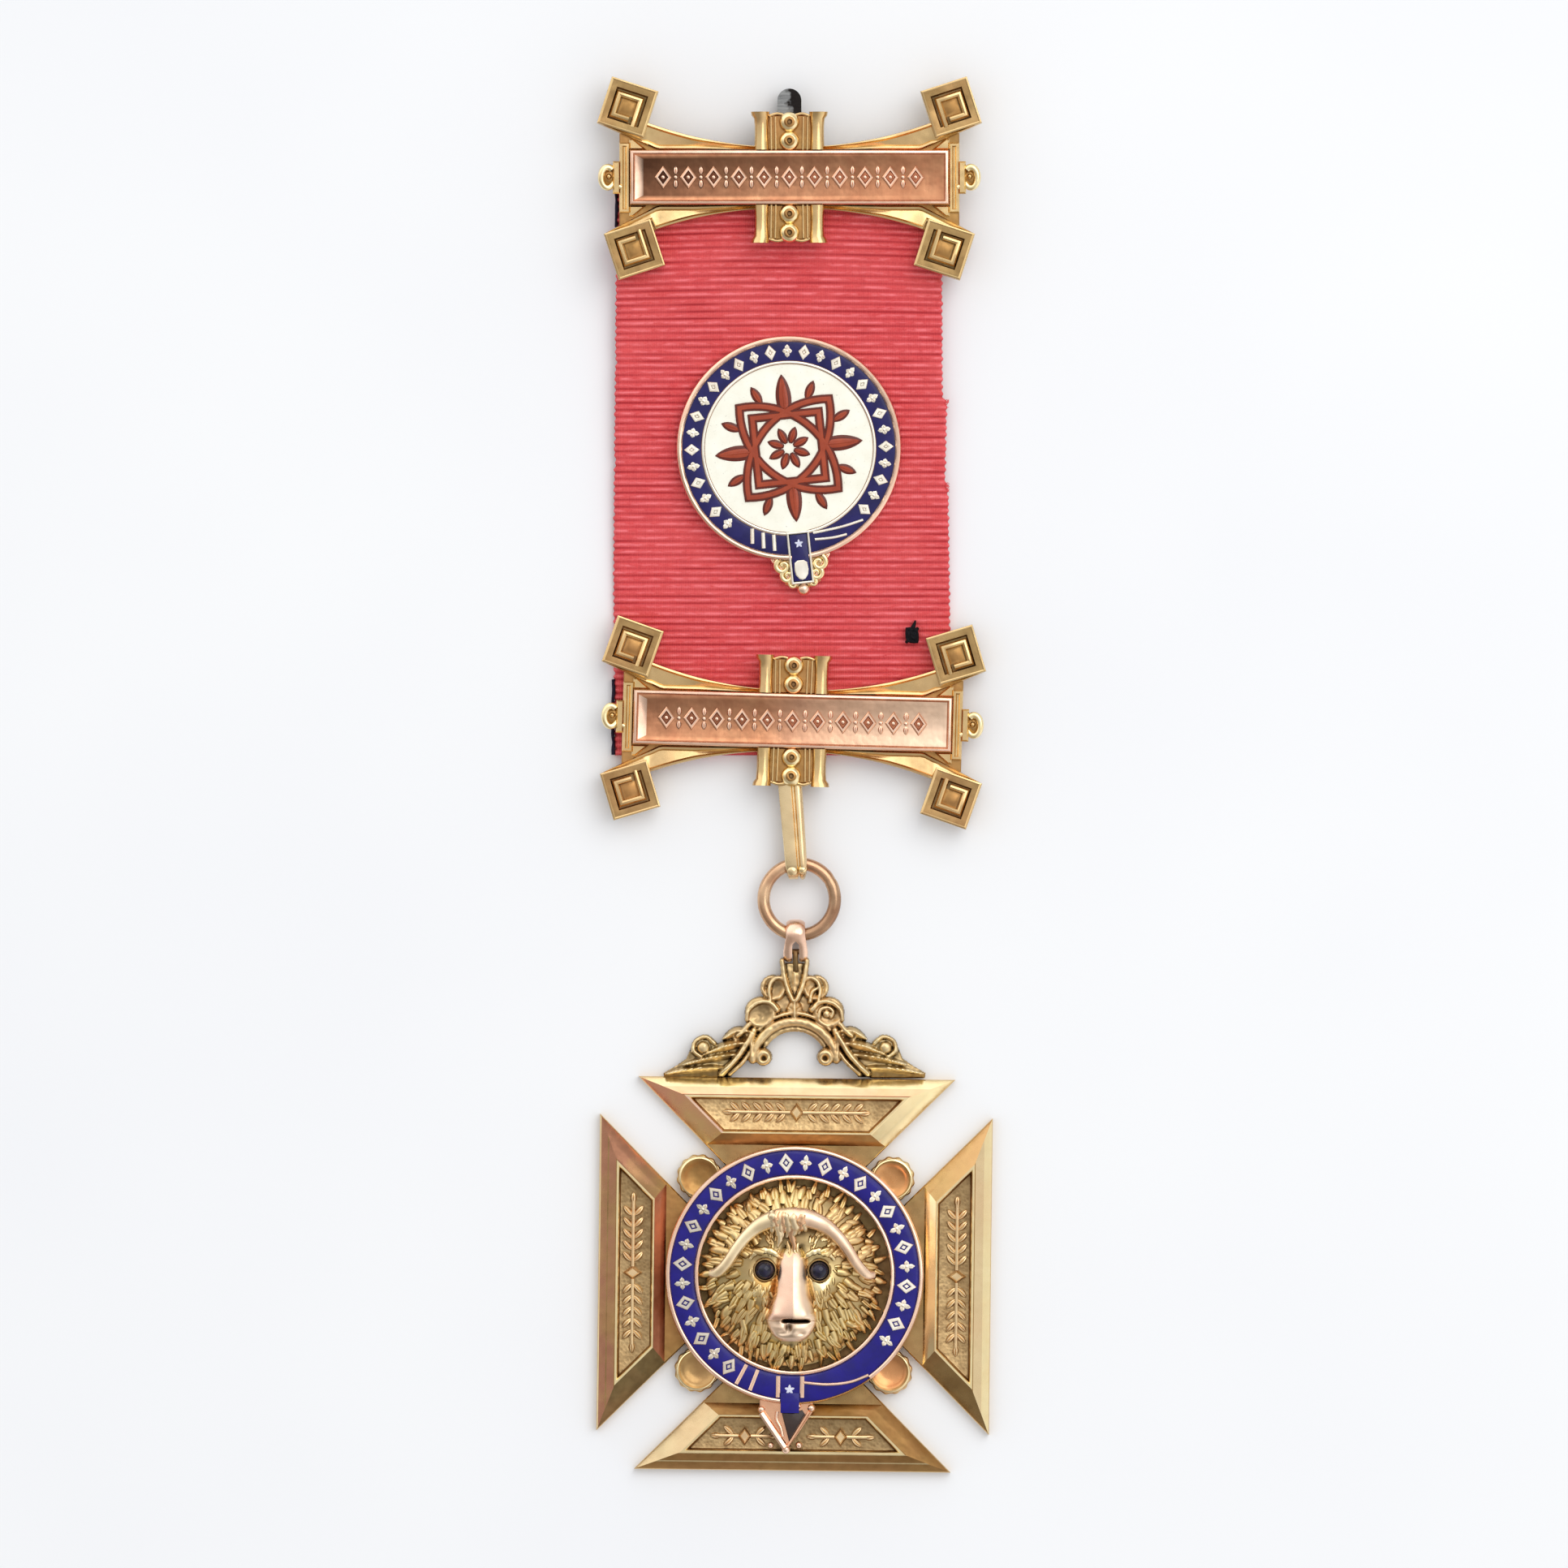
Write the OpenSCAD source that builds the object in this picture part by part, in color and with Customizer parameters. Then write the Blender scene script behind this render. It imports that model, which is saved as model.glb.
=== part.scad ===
// Fraternal jewel, lying face up: a brooch bar, a ribbon with an enamelled badge, a lower
// bar, a jump ring and a cross with a garter round a buffalo head in relief. Millimetres.
// X runs to the right, Y towards the brooch bar and Z up from the surface that it lies on.

/* [Bars] */
// Width of the plaque on each bar
plaque_w = 30.5; // [29:0.1:31]
// Height of the plaque on each bar
plaque_h = 5.2; // [4.8:0.1:5.4]
// Width of the back plate of each bar
plate_w = 32.6; // [32:0.1:33]
// Radius of the swept edges of each bar
sweep_r = 40; // [38:1:44]
// Side of the square key at each corner
key_side = 4.7; // [4.2:0.1:4.9]
// Turn of each key, along the sweep of the bar
key_turn = 18; // [14:1:22]
// Width of the ribbed pillar
pillar_w = 6.7; // [6:0.1:7]
// Length of the ribbed pillar
pillar_l = 12.6; // [12:0.1:13]
// Turn of the lower bar as it lies, clockwise
lower_turn = 1.5; // [0:0.1:2]

/* [Ribbon and badge] */
// Width of the ribbon at the brooch bar
ribbon_w = 31.6; // [30:0.1:32]
// Thickness of the doubled ribbon
ribbon_t = 1; // [1:0.05:1.1]
// Radius of the badge
badge_r = 10.8; // [10.5:0.1:11]
// Radius of the badge's white disc
badge_disc_r = 8.1; // [7.8:0.1:8.3]
// Turn of the badge as it lies, anticlockwise
badge_turn = 6; // [0:0.5:8]

/* [Links] */
// Outer diameter of the jump ring
ring_d = 8.05; // [7.9:0.05:8.2]
// Thickness of the jump ring's wire
ring_wire = 1.2; // [1:0.05:1.25]
// Width of the strap of the suspension loop
loop_w = 2.2; // [2:0.1:2.4]
// Width of the strap of the cross's bail
bail_w = 2.4; // [2.2:0.1:2.5]

/* [Cross] */
// Reach of each arm from the middle of the cross
arm_reach = 18.85; // [18.5:0.05:19.2]
// Half of the width of each arm at its outer edge
arm_half = 15.2; // [15:0.1:15.6]
// Width of the bevel along the outer edge of each arm
bevel_outer = 1.8; // [1.5:0.1:2]
// Width of the bevel along the sides of each arm
bevel_side = 2.05; // [1.8:0.05:2.2]
// Height of the bright ridge round each panel
ridge_z = 2.3; // [2.1:0.1:2.4]
// Outer radius of the garter
garter_r = 12.45; // [12.3:0.05:12.6]
// Radius of the opening in the garter
garter_hole_r = 9.2; // [9.1:0.05:9.4]
// Turn of the cross as it lies, clockwise
cross_turn = 0.7; // [0:0.1:1.5]

/* [Buffalo head] */
// Radius of the mane at the sides
mane_r = 8.35; // [7.8:0.05:8.4]
// Height of the face above the back of the cross
face_z = 4.9; // [4.6:0.1:5.1]
// Height of the locks of the mane
lock_h = 0.45; // [0.2:0.05:0.5]
// Number of locks round the mane
lock_count = 26; // [20:1:30]
// Radius of each eye
eye_r = 0.88; // [0.8:0.02:0.95]

/* [Hidden] */
$fn = 48;

// Colours
yellow_gold = [0.80, 0.66, 0.36];
rose_gold = [0.83, 0.58, 0.46];
steel = [0.45, 0.45, 0.44];
coral = [0.85, 0.30, 0.33];
cobalt = [0.13, 0.09, 0.50];
navy = [0.17, 0.16, 0.42];
white_enamel = [0.96, 0.95, 0.90];
brick_red = [0.65, 0.28, 0.17];
brown_enamel = [0.20, 0.12, 0.08];
eye_black = [0.08, 0.08, 0.12];

// Gap between pieces that are joined face to face
gap = 0.05;

// Places of the main pieces: middle of each, and the height of its back
top_x = -0.5;
top_y = 57.28;
top_z = 2.38;
lower_x = -0.2;
lower_y = 5.2;
lower_z = 1.1;
badge_x = -0.55;
badge_y = 31.4;
ring_x = 0.45;
ring_y = -11.93;
link_z = 1.55;
cross_y = -47.96;

// Bars: heights above the back of the bar
plate_t = 0.9;
arm_t = 1.5;
key_t = 1.75;
pillar_t = 1.75;
waist = 2.9;
upper_key = [15.5, 6.75];
lower_key = [15.4, 7.05];
pinched_key = [14.85, 6.9];
arm_band = 1.5;
pilaster_r = 0.68;
bead_r = 1.05;
bead_step = 2.3;
finial_x = 17.4;
finial_r = 1.15;
plaque_t = 1.45;
plaque_rim = 0.85;
plaque_field = 0.55;

// Ribbon: it slopes from behind the brooch bar to the surface behind the lower bar
ribbon_top_y = 56.4;
ribbon_end_y = 1.9;
slope_top_y = 52;
slope_end_y = 15.6;
ribbon_top_z = top_z - gap - ribbon_t;
ribbon_end_z = lower_z - gap - ribbon_t;
slope = atan((ribbon_top_z - ribbon_end_z) / (slope_top_y - slope_end_y));

// Badge: heights above its back
badge_base_t = 0.6;
badge_rim_t = 1.45;
badge_rim_w = 0.72;
badge_enamel_t = 1.25;
badge_line_w = 0.25;
badge_stud_count = 30;
badge_strap_z = 1.1;
foot_low = -13;
foot_high = -10.45;

// Links
ring_r = (ring_d - ring_wire) / 2;
strap_t = 0.55;
link_big_r = 1.5;
link_small_r = 1;
loop_pin_y = -0.2;
bail_pin_y = -16.95;
loop_lean = 4.4;
hook_r = 0.26;

// Cross: the sides of the arms run at 45 degrees
arm_offset = arm_reach - arm_half;
arm_edge_z = 1.1;
panel_z = 1.35;
panel_top = arm_reach - bevel_outer;
panel_low = 13.75;
back_r = 12.2;
back_t = 1.3;
lobe_r = 2.1;
lobe_pos = 13.1;
lobe_t = 1.5;
sprig_leaf = 2.1;

// Cresting, from the middle of the upper arm's edge: the arch, and its ground plates
arch_y = 1.43;
arch_r = 4.03;
ground_z = 0.4;
ground_t = 1.1;

// Right half of the palmette's ground, from its apex down: x, y
PALMETTE = [[1.15, 11.1], [1.3, 10.1], [2.2, 8.9], [2.7, 7.4], [3.9, 6.4], [4.6, 4.6], [3.5, 3.2]];

// Ground of the right side scroll: x, y
WEDGE = [
    [4.1, 4.9], [5.8, 4.7], [6.6, 4.0], [7.1, 3.2], [8.0, 3.7], [9.2, 3.7], [9.95, 3.0],
    [10.4, 1.9], [11.4, 1.2], [12.6, 0.5], [12.5, -0.3], [7.3, -0.3], [5.7, 2.0], [4.9, 3.1]];

// Dished lobes on the right: x, y, radius, height above the ground's foot
LOBES = [
    [2.2, 8.7, 1.2, 1.6],
    [3.45, 6.4, 1.45, 1.75],
    [5.25, 4.15, 0.75, 1.45],
    [8.7, 2.8, 1.0, 1.52]];

// Raised ribs on the right, round rods on an arc: x, y, radius, start, sweep, rod radius
RIBS = [
    [3.1, 8.0, 2.25, 112, 118, 0.3],
    [3.7, 5.5, 1.9, 75, 100, 0.3],
    [8.7, 2.8, 1.15, -10, 190, 0.26]];
rib_z = 1.28;

// Leaves on the right: x, y, turn, length, width, height above the ground's foot
LEAVES = [
    [0.32, 7.2, 79, 3.7, 0.6, 1.95],
    [4.9, 3.5, -14, 4.4, 1.1, 1.67],
    [5.2, 2.3, -9, 6.3, 1.15, 1.35],
    [6.4, 0.75, -3, 6.0, 0.95, 1.58]];

// Stems on the right: x, y, height above the ground's foot
STEMS = [[4.1, 4.2, 1.85], [3.5, 3.6, 1.25]];

// Garter: heights above the back of the cross
garter_z = back_t + gap;
garter_rim_z = 3.2;
garter_enamel_z = 3.0;
garter_floor_z = 2.3;
garter_rim_w = 0.58;
garter_stud_count = 30;

// Head: it sits on the back plate inside the garter, its face a little to the left
face_x = -0.25;
head_base_z = back_t + gap;
mane_edge_z = 2.3;
mane_rings = 20;
mane_sides = 78;
beard = 0.45;
eye_x = 2.6;
eye_y = 0.5;
eye_z = 4.75;
seat_z = 4.35;

// Relief of the face, from its own middle: x, y, radius along x, radius along y, height
FACE = [
    [-2.7, 1.9, 1.3, 0.5, 0.55],
    [2.7, 1.9, 1.3, 0.5, 0.55],
    [-2.9, -2.0, 1.1, 1.6, 0.45],
    [2.9, -2.0, 1.1, 1.6, 0.45],
    [0, 4.3, 2.2, 1.0, 0.35],
    [0, -7.4, 1.8, 0.9, 0.75]];

// Muzzle, from the forehead down: y, half width, height of its crest
MUZZLE = [
    [2.6, 0.55, 4.75],
    [1.6, 1.0, 5.25],
    [0.2, 1.2, 5.65],
    [-1.6, 1.5, 6.0],
    [-3.0, 1.95, 6.25],
    [-3.9, 2.35, 6.3],
    [-4.25, 2.4, 6.1],
    [-4.4, 2.35, 5.6],
    [-5.1, 2.1, 5.7],
    [-5.8, 1.6, 5.45],
    [-6.3, 0.9, 4.9]];

// Right horn, from the middle of the boss to its tip: x, y, thickness as a radius
HORN = [
    [0, 5.75, 0.95],
    [1.5, 5.6, 0.85],
    [3.0, 5.0, 0.68],
    [4.3, 3.9, 0.6],
    [5.3, 2.6, 0.54],
    [6.2, 1.2, 0.48],
    [7.1, 0.25, 0.4],
    [7.75, 0.1, 0.22]];

// Repeats its children left and right
module both_sides() {
    for (side = [0, 1])
        mirror([side, 0, 0])
            children();
}

// Pointed leaf between two arcs, along X from the origin
module leaf(l, w) {
    r = (l * l + w * w) / (4 * w);
    translate([l / 2, 0])
        intersection() {
            translate([0, r - w / 2])
                circle(r = r);
            translate([0, w / 2 - r])
                circle(r = r);
        }
}

// Lozenge with its long axis along Y
module lozenge(w, l) {
    polygon([[w / 2, 0], [0, l / 2], [-w / 2, 0], [0, -l / 2]]);
}

// Outline of a bar: a plate with swept edges, its four keys and its pillar
module bar_outline() {
    difference() {
        square([plate_w, 26], center = true);
        for (side = [-1, 1])
            translate([0, side * (waist + sweep_r)])
                circle(r = sweep_r, $fn = 160);
        for (side = [-1, 1])
            translate([0, side * (waist + sweep_r)])
                square([plate_w + 1, 2 * (sweep_r - 3.4)], center = true);
    }
}

// Raised band that follows the swept edge from the pillar to the key
module swept_arm() {
    intersection() {
        bar_outline();
        translate([0, waist + sweep_r])
            difference() {
                circle(r = sweep_r + arm_band, $fn = 160);
                circle(r = sweep_r, $fn = 160);
            }
    }
}

// Square key: raised rim, a groove round three sides and a pit in the middle
module key_square() {
    groove = 0.5;
    ring = key_side / 2 - 0.85;
    depth = 0.55;
    difference() {
        translate([-key_side / 2, -key_side / 2, 0])
            cube([key_side, key_side, key_t]);
        translate([-ring, ring - groove, key_t - depth])
            cube([2 * ring, groove, 1]);
        translate([-ring, -ring, key_t - depth])
            cube([groove, 2 * ring, 1]);
        translate([-ring, -ring, key_t - depth])
            cube([ring + 0.3, groove, 1]);
        translate([-groove / 2 + 0.1, -groove / 2, key_t - depth])
            cube([0.8, 0.8, 1]);
    }
}

// Half of the pillar, above the plaque: pilasters, ribs and two stacked beads
module pillar_half() {
    low = plaque_h / 2 + gap;
    reach = pillar_l / 2 - low;
    translate([-pillar_w / 2, low, 0])
        cube([pillar_w, reach - 0.35, pillar_t]);
    both_sides() {
        translate([pillar_w / 2 - pilaster_r, low, pillar_t])
            rotate([-90, 0, 0])
                cylinder(r = pilaster_r, h = reach);
        translate([pillar_w / 2 - pilaster_r, low + reach - 0.5, pillar_t])
            rotate([-90, 0, 0])
                cylinder(r1 = pilaster_r, r2 = pilaster_r + 0.22, h = 0.5, $fn = 24);
        for (rib = [1.35, 1.75])
            translate([rib, low, pillar_t])
                cube([0.22, reach - 0.5, 0.3]);
    }
    for (bead = [0, 1])
        translate([0, 3.25 + bead * bead_step, pillar_t])
            sphere(r = bead_r);
}

// Plate, arms, keys, pillar and finials, soldered into one piece with a seat for the plaque
module bar_frame(low_key) {
    seat_w = plaque_w + 2 * gap;
    seat_h = plaque_h + 2 * gap;
    difference() {
        bar_body(low_key);
        translate([-seat_w / 2, -seat_h / 2, plate_t])
            cube([seat_w, seat_h, 3]);
    }
}

module bar_body(low_key) {
    linear_extrude(plate_t)
        bar_outline();
    for (end = [0, 1])
        mirror([0, end, 0]) {
            linear_extrude(arm_t)
                swept_arm();
            pillar_half();
        }
    both_sides() {
        translate(upper_key)
            rotate([0, 0, key_turn])
                key_square();
        mirror([0, 1, 0])
            translate(low_key)
                rotate([0, 0, key_turn])
                    key_square();
        translate([plaque_w / 2 - 0.2, -3.3, 0])
            cube([(plate_w - plaque_w) / 2 + 0.2, 6.6, plate_t + 0.45]);
        translate([plate_w / 2 - 0.5, -1.6, 0])
            cube([1.15, 3.2, arm_t + 0.3]);
        translate([finial_x, 0, finial_r])
            sphere(r = finial_r);
    }
}

// Plaque with a raised frame and a row of lozenges and dots in its sunk field
module plaque() {
    step = 2.35;
    count = 11;
    field_w = plaque_w - 2 * plaque_rim;
    field_h = plaque_h - 2 * plaque_rim;
    translate([0, 0, plate_t + gap]) {
        difference() {
            translate([-plaque_w / 2, -plaque_h / 2, 0])
                cube([plaque_w, plaque_h, plaque_t]);
            translate([-field_w / 2, -field_h / 2, plaque_t - plaque_field])
                cube([field_w, field_h, 1]);
        }
        for (i = [0:count - 1])
            translate([(i - (count - 1) / 2) * step, 0, 0])
                linear_extrude(plaque_t - 0.3)
                    lozenge(1.1, 2.2);
        for (i = [0:count - 2])
            translate([(i - (count - 2) / 2) * step, 0, 0])
                cylinder(r = 0.3, h = plaque_t - 0.3, $fn = 8);
    }
}

// Places its children on the brooch bar
module at_top() {
    translate([top_x, top_y, top_z])
        children();
}

// Places its children on the lower bar, turned as it lies
module at_lower() {
    translate([lower_x, lower_y, lower_z])
        rotate([0, 0, -lower_turn])
            children();
}

// Plain steel fitting: back strip, pin with its hinge and catch, and the tongue
module brooch_pin() {
    strip_z = 0.95;
    strip_t = 0.33;
    pin_r = 0.45;
    pin_l = 25;
    pin_y = top_y - 1.7;
    color(steel)
        translate([top_x, pin_y, 0]) {
            translate([-14.4, -1.6, strip_z])
                cube([28.8, 3.2, strip_t]);
            translate([-14.4, -1.6, 0])
                cube([2.4, 3.2, strip_z + strip_t]);
            translate([12, -1.6, 0])
                cube([2.4, 3.2, strip_z + strip_t]);
            translate([-12.5, 0, pin_r])
                rotate([0, 90, 0])
                    cylinder(r = pin_r, h = pin_l);
            translate([0, 1, strip_z])
                linear_extrude(strip_t)
                    tongue_outline(9.3);
            translate([0, 2.6, strip_z])
                linear_extrude(top_z - 0.1 - strip_z)
                    tongue_outline(7.7);
        }
}

// Tongue: a strip with a round end
module tongue_outline(l) {
    r = 1.15;
    translate([-r, 0])
        square([2 * r, l - r]);
    translate([0, l - r])
        circle(r = r);
}

module top_bar() {
    color(yellow_gold)
        at_top()
            bar_frame(pinched_key);
}

module top_plaque() {
    color(rose_gold)
        at_top()
            plaque();
}

// Lower bar: its pillar hides a slot with a cross pin that the suspension loop hangs on
module lower_bar() {
    slot_w = loop_w + 0.6;
    slot_top = 1.55;
    slot_l = 3.4;
    color(yellow_gold) {
        difference() {
            at_lower()
                bar_frame(lower_key);
            translate([lower_x - 0.35 - slot_w / 2, loop_pin_y + 1.3 - slot_l, 0])
                cube([slot_w, slot_l, lower_z + slot_top]);
        }
        translate([lower_x - 0.35 - slot_w / 2 - 0.3, loop_pin_y, link_z])
            rotate([0, 90, 0])
                cylinder(r = hook_r, h = slot_w + 0.6);
    }
}

module lower_plaque() {
    color(rose_gold)
        at_lower()
            plaque();
}

// Ribbon: its side profile, cut to the outline that it has from the front
module ribbon() {
    half = ribbon_w / 2;
    profile = [
        [ribbon_top_y, ribbon_top_z], [slope_top_y, ribbon_top_z],
        [slope_end_y, ribbon_end_z], [ribbon_end_y, ribbon_end_z],
        [ribbon_end_y, ribbon_end_z + ribbon_t], [slope_end_y, ribbon_end_z + ribbon_t],
        [slope_top_y, ribbon_top_z + ribbon_t], [ribbon_top_y, ribbon_top_z + ribbon_t]];
    front = [
        [-half - 1.5, ribbon_end_y - 1], [-half - 1.3, ribbon_top_y + 1],
        [half - 1.6, ribbon_top_y + 1], [half - 1.6, 36.3], [half - 1.2, 35.9],
        [half - 0.9, 16], [half - 0.75, ribbon_end_y - 1]];
    color(coral)
        intersection() {
            rotate([90, 0, 90])
                translate([0, 0, -half - 4])
                    linear_extrude(ribbon_w + 8)
                        polygon(profile);
            linear_extrude(6)
                polygon(front);
        }
}

// Places its children on the sloping ribbon, turned as the badge lies
module at_badge() {
    rise = (badge_y - slope_end_y) * tan(slope);
    translate([badge_x, badge_y, ribbon_end_z + rise + ribbon_t + gap])
        rotate([slope, 0, 0])
            rotate([0, 0, badge_turn])
                children();
}

// Lozenges that stand in the enamel ring of the badge, clear of the buckle
module badge_studs(grow) {
    for (i = [0:badge_stud_count - 1]) {
        a = -90 + (i + 0.5) * 360 / badge_stud_count;
        if (cos(a + 90) < 0.86)
            rotate([0, 0, a - 90])
                translate([0, (badge_disc_r + badge_r - badge_rim_w) / 2 + 0.06])
                    lozenge(1 + 2 * grow, 1.35 + 2 * grow);
    }
}

// Buckle bars and the strap's edges across the enamel ring, flat
module badge_buckle(grow) {
    intersection() {
        circle(r = badge_r - 0.1, $fn = 96);
        for (bar = [[-4.4, -12], [-3, -9], [-1.55, 0], [1.15, 0]])
            rotate([0, 0, bar[1] / 2])
                translate([bar[0] - grow, -10.4 - grow])
                    square([0.4 + 2 * grow, 2.2 + 2 * grow]);
    }
}

// Bracket of leaves under the badge's strap, ending in a ball, and the strap end's frame
module badge_bracket() {
    foot_y = -13.2;
    linear_extrude(badge_strap_z)
        difference() {
            union() {
                polygon([[-2, -9.8], [2, -9.8], [1.3, foot_y], [-1.3, foot_y]]);
                both_sides() {
                    translate([0.6, -12.9])
                        rotate([0, 0, 62])
                            leaf(3.6, 1.3);
                    translate([0.9, -11.6])
                        rotate([0, 0, 35])
                            leaf(2.6, 1.2);
                }
            }
            circle(r = badge_r - 0.3, $fn = 96);
        }
    translate([0, foot_y - 0.4, 0.75])
        sphere(r = 0.62);
    translate([0, 0, badge_strap_z - 0.2])
        linear_extrude(badge_rim_t - badge_strap_z + 0.2)
            difference() {
                badge_strap(0.3);
                badge_strap(0);
            }
}

// Outline inside the frame of the badge's strap end, grown by a margin
module badge_strap(grow) {
    translate([-0.85 - grow, foot_low - grow])
        square([1.7 + 2 * grow, foot_high - foot_low + 2 * grow]);
}

// Gold mount of the badge: tray, rims, studs, buckle and bracket, one piece
module badge_mount() {
    inner = badge_r - badge_rim_w;
    color(rose_gold)
        at_badge() {
            difference() {
                cylinder(r = badge_r, h = badge_rim_t, $fn = 96);
                translate([0, 0, badge_base_t])
                    cylinder(r = inner, h = 2, $fn = 96);
                translate([0, 0, badge_strap_z])
                    linear_extrude(1)
                        badge_strap(0);
            }
            translate([0, 0, badge_base_t - 0.1])
                linear_extrude(badge_rim_t - badge_base_t)
                    difference() {
                        circle(r = badge_disc_r + badge_line_w, $fn = 96);
                        circle(r = badge_disc_r, $fn = 96);
                    }
            linear_extrude(badge_enamel_t + 0.1) {
                badge_studs(0);
                badge_buckle(0);
            }
            badge_bracket();
        }
}

// Navy enamel between the rim and the inner line, and on the strap end
module badge_garter_enamel() {
    color(navy)
        at_badge() {
            translate([0, 0, badge_base_t + gap])
                linear_extrude(badge_enamel_t - badge_base_t - gap)
                    difference() {
                        circle(r = badge_r - badge_rim_w - gap, $fn = 96);
                        circle(r = badge_disc_r + badge_line_w + gap, $fn = 96);
                        badge_studs(gap);
                        badge_buckle(gap);
                    }
            translate([0, 0, badge_strap_z + gap])
                linear_extrude(0.25)
                    badge_strap(-gap);
        }
}

module badge_white_enamel() {
    color(white_enamel)
        at_badge()
            translate([0, 0, badge_base_t + gap])
                cylinder(r = badge_disc_r - gap, h = badge_enamel_t - badge_base_t - gap);
}

// Red device on the white disc: two pointed loops that cross, a square and four spurs
module badge_device() {
    line = 0.55;
    color(brick_red)
        at_badge()
            translate([0, 0, badge_enamel_t + 0.02])
                linear_extrude(0.2) {
                    for (turn = [45, 135])
                        rotate([0, 0, turn])
                            difference() {
                                translate([-6.6, 0])
                                    leaf(13.2, 6.4);
                                translate([-5.5, 0])
                                    leaf(11, 5.1);
                            }
                    difference() {
                        square([6.4 + line, 6.4 + line], center = true);
                        square([6.4 - line, 6.4 - line], center = true);
                    }
                    for (turn = [0:90:270])
                        rotate([0, 0, turn])
                            translate([3, 0])
                                leaf(4, 1.3);
                }
}

// Strap bent into a link along Y, deep at the origin and shallow at its other end, with
// a width of w_near at the origin and w_far at the other end
module strap_link(l, w_near, w_far) {
    intersection() {
        rotate([0, -90, 0])
            rotate([0, 0, 90])
                linear_extrude(8, center = true)
                    difference() {
                        link_profile(l, link_big_r, link_small_r);
                        link_profile(l, link_big_r - strap_t, link_small_r - strap_t);
                    }
        linear_extrude(8, center = true)
            polygon([[-w_near / 2, -link_big_r], [w_near / 2, -link_big_r],
                [w_far / 2, l + link_small_r], [-w_far / 2, l + link_small_r]]);
    }
}

// Side profile of a link, along X
module link_profile(l, r_big, r_small) {
    circle(r = r_big);
    translate([l, 0])
        circle(r = r_small);
    polygon([[0, -r_big], [l, -r_small], [l, r_small], [0, r_big]]);
}

// Loop between the lower bar's cross pin and the jump ring, leaning as it lies
module suspension_loop() {
    bottom_y = ring_y + ring_r;
    color(yellow_gold)
        translate([ring_x - 0.3, bottom_y, link_z])
            rotate([0, 0, loop_lean])
                strap_link(loop_pin_y - bottom_y, loop_w - 0.1, loop_w + 0.1);
}

module jump_ring() {
    color(rose_gold)
        translate([ring_x, ring_y, link_z])
            rotate_extrude($fn = 64)
                translate([ring_r, 0])
                    circle(r = ring_wire / 2);
}

// Bail between the jump ring and the cresting, forked over the cresting's lug
module cross_bail() {
    top_end = ring_y - ring_r;
    color(rose_gold)
        difference() {
            translate([0.1, top_end, link_z])
                mirror([0, 1, 0])
                    strap_link(top_end - bail_pin_y, bail_w - 0.6, bail_w);
            translate([-0.3, bail_pin_y - 2, 0])
                cube([0.8, 2.9, 5]);
        }
}

// Lug with a cross pin inside the bail's narrow end
module cresting_lug() {
    lug_w = 0.5;
    pin_y = bail_pin_y - cross_y - arm_reach;
    translate([0.1 - lug_w / 2, pin_y - 1.9, link_z - 0.7])
        cube([lug_w, 2.1, 1.4]);
    translate([-0.8, pin_y, link_z])
        rotate([0, 90, 0])
            cylinder(r = hook_r, h = 1.8);
}

// Side scroll of the cresting: its ground plate and two straight stems
module cresting_scroll() {
    linear_extrude(ground_t)
        polygon(WEDGE);
    for (row = STEMS)
        translate([row[0], row[1], 0])
            rotate([0, 0, -54])
                translate([0, -0.3, 0])
                    cube([5.6, 0.6, row[2]]);
}

// Ground plate of the palmette over the arch, with its middle leaf
module cresting_palmette() {
    last = len(PALMETTE) - 1;
    linear_extrude(ground_t)
        difference() {
            polygon(concat(PALMETTE, [for (i = [last:-1:0]) [-PALMETTE[i][0], PALMETTE[i][1]]]));
            translate([0, arch_y])
                circle(r = arch_r - 0.2);
        }
    translate([0, 5.3])
        rotate([0, 0, 90])
            linear_extrude(1.7)
                leaf(3.2, 1.4);
}

// Carved work on the right half: dished lobes, raised ribs and leaves
module cresting_relief() {
    for (row = LOBES)
        translate([row[0], row[1], 0])
            difference() {
                cylinder(r = row[2], h = row[3]);
                translate([0, 0, row[3] + row[2] * 0.6])
                    sphere(r = row[2]);
            }
    for (row = RIBS)
        translate([row[0], row[1], rib_z])
            rotate([0, 0, row[3]])
                rotate_extrude(angle = row[4])
                    translate([row[2], 0])
                        circle(r = row[5], $fn = 24);
    for (row = LEAVES)
        translate([row[0], row[1]])
            rotate([0, 0, row[2]])
                linear_extrude(row[5])
                    leaf(row[3], row[4]);
}

// Arch: a round rod over a thin lip, with a round button at each end
module cresting_arch() {
    button_r = 0.82;
    button_h = 1.45;
    linear_extrude(0.9)
        intersection() {
            translate([0, arch_y])
                difference() {
                    circle(r = arch_r + 0.2);
                    circle(r = arch_r - 1.05);
                }
            translate([-5, 2.6])
                square([10, 6]);
        }
    translate([0, arch_y, 1.2])
        rotate([0, 0, 4])
            rotate_extrude(angle = 172)
                translate([arch_r, 0])
                    circle(r = 0.5);
    both_sides()
        translate([3, 2.05, 0]) {
            cylinder(r = button_r, h = button_h);
            translate([0, 0, button_h])
                cylinder(r1 = button_r, r2 = button_r / 2, h = 0.4);
        }
}

// Pierced cresting, soldered up from its palmette, arch, scrolls and lug, and trimmed to
// the edge of the upper arm
module cresting() {
    color(yellow_gold)
        difference() {
            translate([0, cross_y + arm_reach, 0]) {
                translate([0, 0, ground_z]) {
                    cresting_palmette();
                    cresting_arch();
                    both_sides() {
                        cresting_scroll();
                        cresting_relief();
                    }
                }
                cresting_lug();
            }
            at_cross()
                translate([-arm_reach, 0, -1])
                    cube([2 * arm_reach, arm_reach + gap, 9]);
        }
}

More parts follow.
